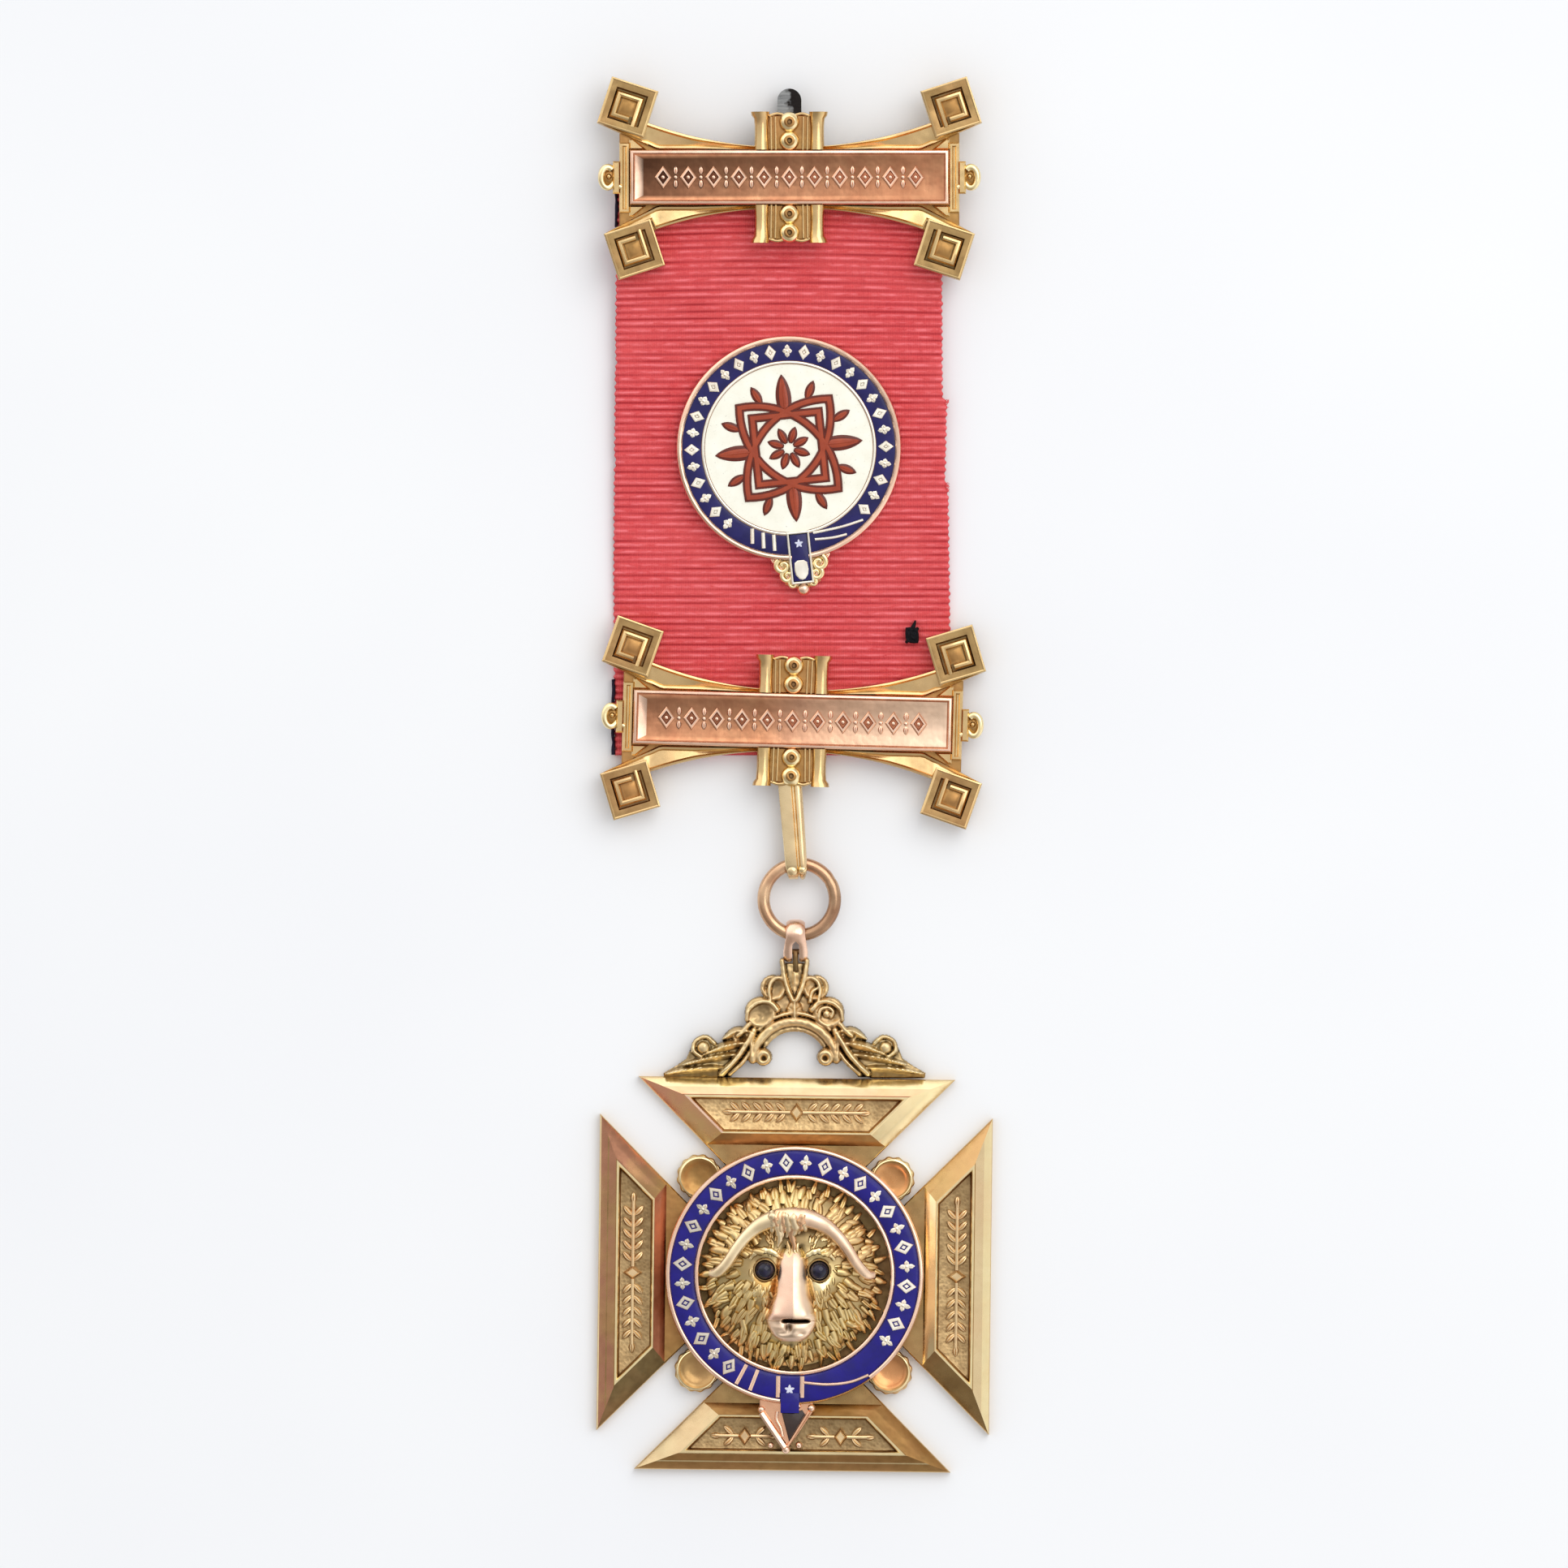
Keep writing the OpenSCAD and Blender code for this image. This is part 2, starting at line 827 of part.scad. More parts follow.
// Places its children on the cross, turned as it lies
module at_cross() {
    translate([0, cross_y, 0])
        rotate([0, 0, -cross_turn])
            children();
}

// Half width of an arm at a distance from the middle, less the bevel along its side
function arm_w(r, bevel) = r - arm_offset - bevel * sqrt(2);

// Upright trapezoid of an arm between two distances from the middle
module arm_outline(r_low, r_high, bevel) {
    low = arm_w(r_low, bevel);
    high = arm_w(r_high, bevel);
    polygon([[-low, r_low], [low, r_low], [high, r_high], [-high, r_high]]);
}

// One arm: its slab, and the bevels that rise to the ridge round the panel
module cross_arm() {
    lip = 0.15;
    linear_extrude(arm_edge_z)
        arm_outline(arm_offset + 0.4, arm_reach, 0);
    hull() {
        translate([0, 0, arm_edge_z - 0.02])
            linear_extrude(0.01)
                arm_outline(garter_r + 0.15, arm_reach, 0);
        translate([0, 0, ridge_z - 0.01])
            linear_extrude(0.01)
                arm_outline(panel_low - lip, panel_top + lip, bevel_side - lip);
    }
}

// Sprig of leaves with a lozenge in its middle, along X
module sprig(half_l) {
    linear_extrude(0.3) {
        lozenge(1.5, 1.9);
        both_sides() {
            translate([0.6, -0.12])
                square([half_l - 1.2, 0.24]);
            for (x = [1.2:1.35:half_l - 1.5])
                for (lift = [-1, 1])
                    translate([x, 0])
                        rotate([0, 0, lift * 38])
                            leaf(sprig_leaf * 0.8, 0.62);
            translate([half_l - 1.2, 0])
                leaf(1.3, 0.7);
        }
    }
}

// Lobe of the back plate between two arms, dished
module back_lobe() {
    difference() {
        union() {
            translate([lobe_pos, 0, 0])
                cylinder(r = lobe_r, h = lobe_t);
            for (side = [-1, 1])
                rotate([0, 0, side * 7.5])
                    translate([lobe_pos - 0.7, 0, 0])
                        cylinder(r = 1.5, h = lobe_t - 0.35);
        }
        translate([lobe_pos, 0, lobe_t + 1.7])
            sphere(r = 2.3);
    }
}

// Cross: back plate, lobes and four arms, with a seat for the garter
module cross() {
    color(yellow_gold)
        at_cross()
            difference() {
                union() {
                    cylinder(r = back_r, h = back_t, $fn = 96);
                    for (turn = [0:90:270])
                        rotate([0, 0, turn]) {
                            difference() {
                                cross_arm();
                                translate([0, 0, panel_z])
                                    linear_extrude(3)
                                        arm_outline(panel_low, panel_top, bevel_side);
                            }
                            rotate([0, 0, 45])
                                back_lobe();
                        }
                    for (turn = [0, 90, 270])
                        rotate([0, 0, turn])
                            translate([0, 15.55, panel_z - 0.05])
                                sprig(turn == 0 ? 6.6 : 7.2);
                    both_sides()
                        translate([4.6, -15.55, panel_z - 0.05])
                            sprig(2.8);
                }
                translate([0, 0, back_t])
                    cylinder(r = garter_r + gap, h = 5, $fn = 96);
            }
}

// Lozenges and dots that stand in the enamel of the garter, clear of the strap
module garter_studs(grow) {
    mid = (garter_r + garter_hole_r) / 2;
    for (i = [0:garter_stud_count - 1]) {
        a = -90 + (i + 0.5) * 360 / garter_stud_count;
        if (sin(a) > -0.9)
            rotate([0, 0, a - 90])
                translate([0, mid])
                    if (i % 2 == 0)
                        lozenge(1.1 + 2 * grow, 1.5 + 2 * grow);
                    else
                        rotate([0, 0, 22.5])
                            circle(r = 0.4 + grow, $fn = 8);
    }
}

// Bars of the buckle and the edges of the strap, across the enamel ring
module garter_bars(grow) {
    intersection() {
        circle(r = garter_r - 0.15, $fn = 96);
        for (bar = [[-5.1, -22], [-3.4, -12], [-1.5, 0], [0.75, 0]])
            rotate([0, 0, bar[1] / 2])
                translate([bar[0] - grow, -12.5 - grow])
                    square([0.38 + 2 * grow, 3.2 + 2 * grow]);
    }
}

// Pointed strap end, by how far its outline is drawn in
module strap_end(inset) {
    polygon([
        [-3.2 + inset, -11.95 - inset], [1.9 - inset, -11.95 - inset],
        [1.9 - inset, -13.1], [-0.6, -16.9 + 1.9 * inset], [-3.2 + inset, -13.4]]);
}

// Gold garter: tray with rims, studs, buckle bars and the frame of the strap end
module garter() {
    color(rose_gold)
        at_cross() {
            translate([0, 0, garter_z])
                difference() {
                    cylinder(r = garter_r - gap, h = garter_rim_z - garter_z, $fn = 96);
                    translate([0, 0, -1])
                        cylinder(r = garter_hole_r, h = 5, $fn = 96);
                    translate([0, 0, garter_floor_z - garter_z])
                        difference() {
                            cylinder(r = garter_r - garter_rim_w, h = 5, $fn = 96);
                            translate([0, 0, -1])
                                cylinder(r = garter_hole_r + garter_rim_w, h = 7, $fn = 96);
                        }
                }
            translate([0, 0, garter_floor_z - 0.1])
                linear_extrude(garter_enamel_z + 0.2 - garter_floor_z) {
                    garter_studs(0);
                    garter_bars(0);
                }
            translate([0, 0, ridge_z + 0.1])
                difference() {
                    linear_extrude(garter_rim_z - ridge_z - 0.1)
                        strap_end(0);
                    translate([0, 0, 0.3])
                        linear_extrude(2)
                            strap_end(0.42);
                }
        }
}

module garter_enamel() {
    color(cobalt)
        at_cross()
            translate([0, 0, garter_floor_z + gap])
                linear_extrude(garter_enamel_z - garter_floor_z - gap)
                    difference() {
                        circle(r = garter_r - garter_rim_w - gap, $fn = 96);
                        circle(r = garter_hole_r + garter_rim_w + gap, $fn = 96);
                        garter_studs(gap);
                        garter_bars(gap);
                    }
}

module garter_tip_enamel() {
    color(brown_enamel)
        at_cross()
            translate([0, 0, ridge_z + 0.4 + gap])
                linear_extrude(0.3)
                    strap_end(0.47);
}

// Places its children on the middle of the face
module at_face() {
    at_cross()
        translate([face_x, 0, 0])
            children();
}

// Edge of the mane by direction: wider below for the beard, ragged at the locks
function mane_edge(a) =
    mane_r + beard * pow(max(0, -sin(a)), 2) + 0.35 * abs(sin(lock_count * a / 2)) - 0.35;

// Smooth swelling of the head, from the face to the edge of the mane
function swell(u) = mane_edge_z + (face_z - mane_edge_z) * pow(max(0, 1 - pow(u, 2.4)), 0.75);

// Locks of the mane: ridges that swirl outwards
function locks(u, a) =
    lock_h * min(1, max(0, (u - 0.42) * 4)) * abs(sin(lock_count * a / 2 + 260 * u));

// Sum of the face's swellings at a point
function face_sum(x, y, i = 0) =
    i == len(FACE) ? 0 :
    FACE[i][4] * exp(-pow((x - FACE[i][0]) / FACE[i][2], 2) - pow((y - FACE[i][1]) / FACE[i][3], 2))
    + face_sum(x, y, i + 1);

// Half width of the muzzle at a height on the face
function muzzle_w(y) =
    lookup(y, [for (row = [len(MUZZLE) - 1:-1:0]) [MUZZLE[row][0], MUZZLE[row][1]]]);

// How far a point lies outside the muzzle's outline
function muzzle_clear(x, y) =
    max(abs(x) - muzzle_w(y), y - MUZZLE[0][0], MUZZLE[len(MUZZLE) - 1][0] - y);

// Level that the face stays under, to leave a seat for the eyes and the muzzle
function seat_limit(x, y) =
    min(
        eye_z - eye_r - 0.08 + 2 * max(0, norm([abs(x) - eye_x, y - eye_y]) - eye_r - 0.2),
        seat_z + 2 * max(0, muzzle_clear(x, y) - 0.3));

// Height of the head at a share u of the way out, in direction a
function head_z(u, a) =
    let (r = u * mane_edge(a), x = r * cos(a) - face_x, y = r * sin(a))
    min(swell(u) + locks(u, a) + face_sum(x, y), seat_limit(x, y));

module buffalo_head() {
    n = mane_sides;
    rings = mane_rings;
    points = concat(
        [[0, 0, head_z(0, 0)]],
        [for (i = [1:rings], k = [0:n - 1])
            let (u = i / rings, a = 360 * k / n, r = u * mane_edge(a))
            [r * cos(a), r * sin(a), head_z(u, a)]],
        [for (k = [0:n - 1])
            let (a = 360 * k / n, r = mane_edge(a))
            [r * cos(a), r * sin(a), head_base_z]]);
    faces = concat(
        [for (k = [0:n - 1]) [0, 1 + (k + 1) % n, 1 + k]],
        [for (i = [0:rings - 1], k = [0:n - 1], half = [0, 1])
            let (p = 1 + i * n + k, q = 1 + i * n + (k + 1) % n)
            half == 0 ? [p, q, q + n] : [p, q + n, p + n]],
        [[for (k = [0:n - 1]) 1 + rings * n + k]]);
    color(yellow_gold)
        at_cross()
            polyhedron(points, faces);
}

// Point on a smooth curve through four rows of a table
function spline(p0, p1, p2, p3, t) =
    0.5 * ((2 * p1) + (p2 - p0) * t + (2 * p0 - 5 * p1 + 4 * p2 - p3) * t * t
    + (3 * p1 - p0 - 3 * p2 + p3) * t * t * t);

// Rows of a table made finer by the curve, with steps points between two rows
function refined(table, steps) =
    let (last = len(table) - 1)
    [for (i = [0:last - 1], s = [0:steps - 1])
        spline(table[max(0, i - 1)], table[i], table[i + 1], table[min(last, i + 2)], s / steps),
        table[last]];

// Level that the horn's middle line keeps above the mane
function horn_z(x, y, r) =
    let (u = min(1, norm([x, y]) / mane_r))
    swell(u) + lock_h + r * 0.9 + (x * x < 9 ? 0.3 : 0.17);

// Both horns and the boss between them, one swept piece
module horns() {
    n = 10;
    right = refined(HORN, 4);
    mirrored = [for (i = [len(right) - 1:-1:1]) [-right[i][0], right[i][1], right[i][2]]];
    path = concat(mirrored, right);
    last = len(path) - 1;
    points = [for (i = [0:last], k = [0:n - 1])
        let (
            here = path[i],
            ahead = path[min(last, i + 1)],
            behind = path[max(0, i - 1)],
            step = [ahead[0] - behind[0], ahead[1] - behind[1]],
            along = step / norm(step),
            a = 360 * k / n,
            r = here[2])
        [here[0] - along[1] * r * cos(a), here[1] + along[0] * r * cos(a),
            horn_z(here[0], here[1], r) + r * sin(a)]];
    faces = concat(
        [[for (k = [0:n - 1]) k]],
        [for (i = [0:last - 1], k = [0:n - 1], half = [0, 1])
            let (p = i * n + k, q = i * n + (k + 1) % n)
            half == 0 ? [p, p + n, q + n] : [p, q + n, q]],
        [[for (k = [n - 1:-1:0]) last * n + k]]);
    color(rose_gold)
        at_face()
            polyhedron(points, faces);
}

// Muzzle: rounded sections from the forehead to the lip, on a flat seat
module muzzle() {
    n = 10;
    rows = refined(MUZZLE, 3);
    last = len(rows) - 1;
    base_z = seat_z + gap;
    points = [for (i = [0:last], k = [0:n])
        let (
            a = 180 * k / n,
            s = cos(a),
            crest = rows[i][2] - base_z)
        [rows[i][1] * s, rows[i][0], base_z + crest * pow(sin(a) + 0.0001, 0.6) * (k % n == 0 ? 0 : 1)]];
    m = n + 1;
    faces = concat(
        [[for (k = [0:n]) k]],
        [for (i = [0:last - 1], k = [0:n - 1], half = [0, 1])
            let (p = i * m + k, q = i * m + k + 1)
            half == 0 ? [p, p + m, q + m] : [p, q + m, q]],
        [for (i = [0:last - 1], half = [0, 1])
            let (p = i * m, q = i * m + n)
            half == 0 ? [p, q, q + m] : [p, q + m, p + m]],
        [[for (k = [n:-1:0]) last * m + k]]);
    color(rose_gold)
        at_face()
            polyhedron(points, faces);
}

// Cabochon eye
module eye(side) {
    color(eye_black)
        at_face()
            translate([side * eye_x, eye_y, eye_z])
                sphere(r = eye_r);
}

module left_eye() {
    eye(-1);
}

module right_eye() {
    eye(1);
}

brooch_pin();
top_bar();
top_plaque();
ribbon();
badge_mount();
badge_garter_enamel();
badge_white_enamel();
badge_device();
lower_bar();
lower_plaque();
suspension_loop();
jump_ring();
cross_bail();
cresting();
cross();
garter();
garter_enamel();
garter_tip_enamel();
buffalo_head();
horns();
muzzle();
left_eye();
right_eye();
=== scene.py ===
"""Fraternal jewel: gold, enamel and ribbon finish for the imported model.

Shapes are drawn in millimetres in the model's own frame, and become metres when their
mesh is made. The same values as in the CAD source place every piece.
"""

import math

import bmesh
import bpy
import numpy as np
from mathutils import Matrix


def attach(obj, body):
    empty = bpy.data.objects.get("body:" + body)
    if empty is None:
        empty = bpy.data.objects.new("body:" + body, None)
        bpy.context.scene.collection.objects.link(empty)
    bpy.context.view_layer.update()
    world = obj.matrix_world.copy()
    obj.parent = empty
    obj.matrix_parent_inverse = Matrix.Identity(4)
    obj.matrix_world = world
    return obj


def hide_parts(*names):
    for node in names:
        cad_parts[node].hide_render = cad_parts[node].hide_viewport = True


MM = 0.001
ROOT2 = math.sqrt(2)

# Brooch bar and lower bar
BAR_TOP = (-0.5, 57.28, 2.38)
BAR_LOW = (-0.2, 5.2, 1.1)
BAR_LOW_TURN = -1.5
PLAQUE_W = 30.5
PLAQUE_H = 5.2
PLAQUE_T = 1.45
LOZENGE_COUNT = 11
LOZENGE_STEP = 2.42
PLATE_W = 32.6
PLATE_T = 0.9
ARM_T = 1.5
KEY_SIDE = 4.7
KEY_TURN = 18
KEY_T = 1.75
KEY_UPPER = (15.5, 6.75)
KEY_LOWER = (15.4, 7.05)
KEY_TOP_LOWER = (14.85, 6.9)
WAIST = 2.9
SWEEP_R = 40
ARM_SPRING_X = 12.6
PILLAR_T = 1.75
PILLAR_TOP = 6.3
PILASTER_R = 0.68
FINIAL_X = 17.4

# Ribbon
RIBBON_T = 1.0
RIBBON_TOP = (56.4, 1.33)
SLOPE_TOP = (52.0, 1.33)
SLOPE_END = (15.6, 0.05)
RIBBON_END = (1.9, 0.05)
RIBBON_LENGTH = RIBBON_TOP[0] - RIBBON_END[0]
RIB_PITCH = 0.663
SLOPE_RUN = SLOPE_TOP[0] - SLOPE_END[0]
SLOPE_RISE = SLOPE_TOP[1] - SLOPE_END[1]
SLOPE = math.atan(SLOPE_RISE / SLOPE_RUN)

# Round badge
BADGE_AT = (-0.55, 31.4)
BADGE_TURN = 6
BADGE_R = 10.8
BADGE_RIM_Z = 1.45
BADGE_RIM_W = 0.56
BADGE_ENAMEL_Z = 1.25
BADGE_DISC_R = 8.1
BRACKET_FOOT_Y = -13.2
STUD_COUNT = 36

# Links
LINK_Z = 1.55
RING_AT = (0.45, -11.93)
RING_R = 3.425
RING_WIRE = 0.6
LOOP_PIN_Y = -0.2
BAIL_PIN_Y = -16.95
STRAP_T = 0.55
RING_BEND_R = 1.5 - STRAP_T / 2
PIN_BEND_R = 1.0 - STRAP_T / 2

# Cross and garter
CROSS_AT = (0, -47.96)
CROSS_TURN = -0.7
ARM_REACH = 18.85
ARM_OFFSET = 3.65
RIDGE_Z = 2.3
PANEL_Z = 1.35
SPRIG_Y = 15.55
LOBE_POS = 13.1
GARTER_R = 12.4
GARTER_HOLE = 9.2
GARTER_RIM_W = 0.46
GARTER_RIM_Z = 3.2
GARTER_ENAMEL_Z = 3.0
GARTER_FLOOR_Z = 2.35

# Head
FACE_X = -0.25
MANE_R = 8.35
BEARD = 0.45
MANE_EDGE_Z = 2.3
FACE_Z = 4.9
LOCK_H = 0.45
LOCK_SPACING = 0.8
MANE_ROWS = [7.75, 7.0, 6.25, 5.5, 4.8, 4.1, 3.4, 2.7]
FACE_HAIRS = 150
EYE = (2.6, 0.5, 4.75)
EYE_R = 0.88
SEAT_Z = 4.4

# Brows, cheeks and chin: middle, widths, rise
FACE_MOUNDS = [
    (-2.7, 2.1, 1.2, 0.5, 0.3), (2.7, 2.1, 1.2, 0.5, 0.3), (-2.9, -1.6, 1.0, 1.4, 0.4),
    (2.9, -1.6, 1.0, 1.4, 0.4), (0, -7.4, 1.8, 0.9, 0.6)]

# Muzzle, from the forehead down: y, half width, height of its crest
MUZZLE = [
    (2.6, 0.7, 4.75), (1.6, 1.15, 5.25), (0.2, 1.35, 5.65), (-1.6, 1.7, 6.0),
    (-3.0, 2.15, 6.25), (-3.9, 2.45, 6.3), (-4.25, 2.5, 6.1), (-4.4, 2.45, 5.6),
    (-5.1, 2.2, 5.7), (-5.8, 1.7, 5.45), (-6.3, 1.0, 4.9)]

# Right horn, from the middle of the boss to its tip: x, y, radius
HORN = [
    (0, 5.7, 0.9), (1.5, 5.5, 0.9), (3.0, 4.9, 0.76), (4.3, 3.85, 0.62),
    (5.3, 2.6, 0.56), (6.2, 1.2, 0.53), (7.1, 0.25, 0.51), (7.75, 0.1, 0.4)]

# Cresting, right half, from the middle of the upper arm's edge
CREST_AT = (0, -29.11, 0.4)
GROUND_T = 1.1
ARCH_Y = 1.43
ARCH_R = 4.03
PALMETTE = [
    (1.15, 11.1), (1.3, 10.1), (2.2, 8.9), (2.7, 7.4), (3.9, 6.4), (4.6, 4.6), (3.5, 3.2)]
WEDGE = [
    (4.1, 4.9), (5.8, 4.7), (6.6, 4.0), (7.1, 3.2), (8.0, 3.7), (9.2, 3.7), (9.95, 3.0),
    (10.4, 1.9), (11.4, 1.2), (12.6, 0.5), (12.5, 0.0), (7.3, 0.0), (5.7, 2.0), (4.9, 3.1)]

# Its bowls: x, y, radius, top; its ribs: path, radius, top; its leaves: path, width, base, rise
CREST_BOWLS = [
    (2.05, 8.7, 1.25, 1.5), (3.3, 6.35, 1.5, 1.6), (5.25, 4.15, 0.75, 1.4), (8.7, 2.8, 1.0, 1.45)]
CREST_RIBS = [
    ([(1.2, 11.3), (1.02, 9.9), (0.68, 8.6), (0.16, 7.5)], 0.26, 1.85),
    ([(0.85, 9.3), (1.5, 9.7), (2.2, 9.3), (2.45, 8.4), (2.3, 7.5)], 0.22, 1.75),
    ([(1.7, 6.6), (2.4, 7.3), (3.5, 7.3), (4.4, 6.6), (4.6, 5.6)], 0.26, 1.85),
    ([(0.0, 6.3), (1.2, 6.1), (2.4, 5.55), (3.4, 4.65)], 0.18, 1.62),
    ([(4.4, 5.2), (4.95, 4.5), (5.5, 4.1)], 0.28, 1.75),
    ([(7.7, 3.4), (8.5, 4.0), (9.5, 3.6), (9.7, 2.7), (9.0, 2.1)], 0.24, 1.74)]
CREST_RIBS_RIGHT = [
    ([(1.5, 7.4), (1.7, 8.3), (2.3, 8.7)], 0.18, 1.7),
    ([(2.3, 5.9), (2.5, 6.6), (3.2, 6.8), (3.7, 6.4), (3.5, 5.9)], 0.2, 1.82)]
CREST_LEAVES = [
    ([(4.2, 4.5), (5.6, 4.5), (7.0, 3.7)], 0.95, 1.0, 0.75),
    ([(4.7, 3.4), (6.6, 3.1), (8.9, 2.2)], 1.0, 1.0, 0.8),
    ([(5.4, 2.3), (8.0, 2.0), (10.8, 1.25)], 1.05, 0.85, 0.85),
    ([(6.6, 1.0), (9.4, 0.95), (12.4, 0.4)], 1.1, 0.7, 0.85)]

# Finish of each arm's bevels by its turn: towards the garter, on its right, on its left, and
# on its outer edge from the rim inwards
# These are lit and shaded copies of one gold: painted reflections and shade by the way each bevel faces
ARM_FINISH = {
    0: ("gold_deep", "gold_bright", "flushed",
        ("gold_bright", "gold_bright", "gold_bright", "peach", "rose_deep")),
    90: ("rose_deep", "umber", "gold_shade",
         ("gold_bright", "umber", "gold_key", "umber", "gold_deep")),
    180: ("gold_deep", "gold_soft", "gold_deep",
          ("gold_deep", "gold_deep", "gold_bright", "gold_deep", "gold_bright")),
    270: ("gold_bright", "gold_key", "gold_warm",
          ("gold_bright", "gold_bright", "gold_pale", "gold_pale", "gold_deep"))}

# Darkening of each arm's bevels and panel, and finish of the lobe clockwise from it: a lit or shaded copy
# of gold, as a painted reflection
ARM_DARKENING = {0: 0.0, 90: 0.08, 180: 0.14, 270: 0.06}
PANEL_DARKENING = {0: 0.0, 90: 0.3, 180: 0.36, 270: 0.28}
LOBE_DISH = {0: "amber", 90: "gold_deep", 180: "gold_key", 270: "amber"}

# Golds: name, colour, dark tone, roughness, grain, drift, blush, colour far from the garter
# Several are lit and shaded copies of one gold, laid by where a face meets the light: gold_bright,
# gold_pale, gold_soft, gold_warm, flushed, peach, umber, amber and gold_cheek, and rose_pale on crests, are
# painted highlight and reflection; gold_deep, gold_shade and rose_deep are painted shade
GOLDS = {
    "gold": ("yellow gold", (226, 196, 142), (196, 160, 108), 0.22),
    "gold_key": ("satin key gold", (184, 153, 103), (146, 114, 72), 0.28, 0.003, 0.7),
    "gold_pale": ("pale gold", (238, 214, 168), (212, 184, 138), 0.24, 0.001),
    "gold_soft": ("soft gold", (216, 194, 152), (190, 162, 118), 0.24, 0.001),
    "gold_cheek": ("cheek gold", (232, 190, 118), (196, 150, 84), 0.34, 0.002),
    "gold_warm": ("warm gold", (202, 174, 114), (182, 148, 90), 0.24, 0.002, 0.5, 0.3, (206, 164, 112)),
    "flushed": ("flushed gold", (255, 220, 150), (246, 196, 130), 0.22, 0.002, 0.5, 0.4, (255, 188, 152)),
    "gold_bright": ("bright gold", (252, 234, 184), (242, 212, 152), 0.2),
    "gold_cast": ("cast gold", (226, 200, 148), (166, 134, 88), 0.34, 0.004, 0.6, 0.35),
    "gold_deep": ("hollow gold", (178, 138, 84), (118, 84, 48), 0.38, 0.01),
    "gold_shade": ("tarnished gold", (128, 108, 72), (72, 58, 40), 0.42, 0.012),
    "gold_work": ("raised panel gold", (234, 206, 160), (200, 162, 116), 0.3, 0.006),
    "mane": ("mane gold", (238, 214, 156), (204, 172, 112), 0.36, 0.003, 0.4, 0.4),
    "horn": ("pale horn gold", (255, 238, 198), (246, 214, 164), 0.34, 0.003),
    "horn_rose": ("rosy horn gold", (255, 228, 200), (244, 198, 160), 0.34, 0.003),
    "umber": ("brown-toned gold", (208, 176, 116), (168, 134, 82), 0.22, 0.002, 0.6, 0.25, (190, 136, 108)),
    "peach": ("peach gold", (252, 214, 172), (240, 184, 134), 0.2, 0.002, 0.6, 0.4),
    "amber": ("amber-toned gold", (222, 166, 112), (184, 122, 72), 0.22, 0.003, 0.6, 0.3),
    "rose": ("rose gold", (232, 180, 146), (206, 146, 112), 0.24),
    "rose_ring": ("worn rose gold", (230, 194, 156), (178, 132, 102), 0.24, 0.004, 0.9),
    "rose_pale": ("pale rose gold", (246, 212, 188), (230, 182, 154), 0.24),
    "rose_satin": ("satin pale gold", (252, 228, 200), (240, 200, 168), 0.34, 0.003),
    "rose_deep": ("hollow rose gold", (178, 116, 86), (124, 74, 54), 0.36, 0.01),
    "stud": ("enamel studs", (254, 250, 238), (230, 218, 192), 0.34, 0.004),
}

# Enamels: name, colour, second colour, roughness of the gloss coat
ENAMELS = {
    "cobalt": ("cobalt enamel", (13, 3, 104), (20, 6, 128)),
    "navy": ("navy enamel", (18, 14, 74), (28, 24, 94)),
    "white": ("white enamel", (252, 249, 234), (244, 240, 222), 0.12),
    "red": ("red enamel", (170, 72, 42), (150, 58, 32), 0.14),
    "red_line": ("red enamel outline", (104, 34, 20), (88, 30, 18), 0.16),
    "brown": ("brown enamel", (60, 42, 34), (42, 30, 28), 0.14),
    "dot": ("white enamel dots", (236, 236, 244), (206, 208, 232), 0.12),
}

# Sky that the metal mirrors: its level straight above, and its colour from dark to bright
SKY_LEVEL = 0.4
SKY_STOPS = [
    (0.0, (0.21, 0.2, 0.19)), (0.25, (0.2, 0.185, 0.17)), (0.33, (0.3, 0.285, 0.27)),
    (0.4, (0.39, 0.385, 0.38)), (0.48, (0.52, 0.515, 0.51)), (0.55, (0.72, 0.715, 0.7)),
    (0.65, (0.78, 0.775, 0.76)), (1.0, (0.95, 0.94, 0.92))]

# Soft lamp, in metres and watts
LAMP_AT = (0.35, 0.38, 0.75)
LAMP_SIZE = 0.8
LAMP_POWER = 3.3
LAMP_COLOUR = (1.0, 0.985, 0.96)

# View from above: the photograph's width in pixels, millimetres per pixel, middle and height
PHOTO_WIDTH = 1932
PIXEL = 0.078
VIEW_AT = (-1.014, -0.858)
VIEW_HEIGHT = 1500

RNG = np.random.default_rng(11)


# Small tools for points

def smooth(value, low, high):
    """Go from 0 to 1 between low and high without a corner."""
    t = np.clip((value - low) / (high - low), 0, 1)
    return t * t * (3 - 2 * t)


def bell(value, centre, width):
    """A smooth peak of height 1."""
    return np.exp(-((value - centre) / width) ** 2)


def mound(x, y, cx, cy, wx, wy):
    """A smooth hump of height 1 over the plane."""
    return np.exp(-((x - cx) / wx) ** 2 - ((y - cy) / wy) ** 2)


def averaged(grid):
    """A grid in which each place takes the mean of itself and its neighbours."""
    for axis in (0, 1):
        grid = (np.roll(grid, 1, axis) + grid + np.roll(grid, -1, axis)) / 3
    return grid


def around(count):
    """Directions of a whole turn in equal steps."""
    return np.linspace(0, 2 * math.pi, count, endpoint=False)


def round_points(angles, radius, z):
    """Points of a circle at one height; the radius may differ by direction."""
    return np.column_stack([radius * np.cos(angles), radius * np.sin(angles),
                            np.full(len(angles), z)])


def lifted(flat, z):
    """Points of the plane raised to one height, or each to its own."""
    return np.column_stack([flat, np.broadcast_to(z, len(flat))])


def polar(reach, degrees):
    """A point of the plane by its distance and its direction."""
    a = math.radians(degrees)
    return reach * math.cos(a), reach * math.sin(a)


def spoke(degrees, near, far, count, z=0.0, at=(0, 0)):
    """Points straight out from a centre, at one height."""
    flat = [polar(reach, degrees) for reach in np.linspace(near, far, count)]
    return [(at[0] + x, at[1] + y, z) for x, y in flat]


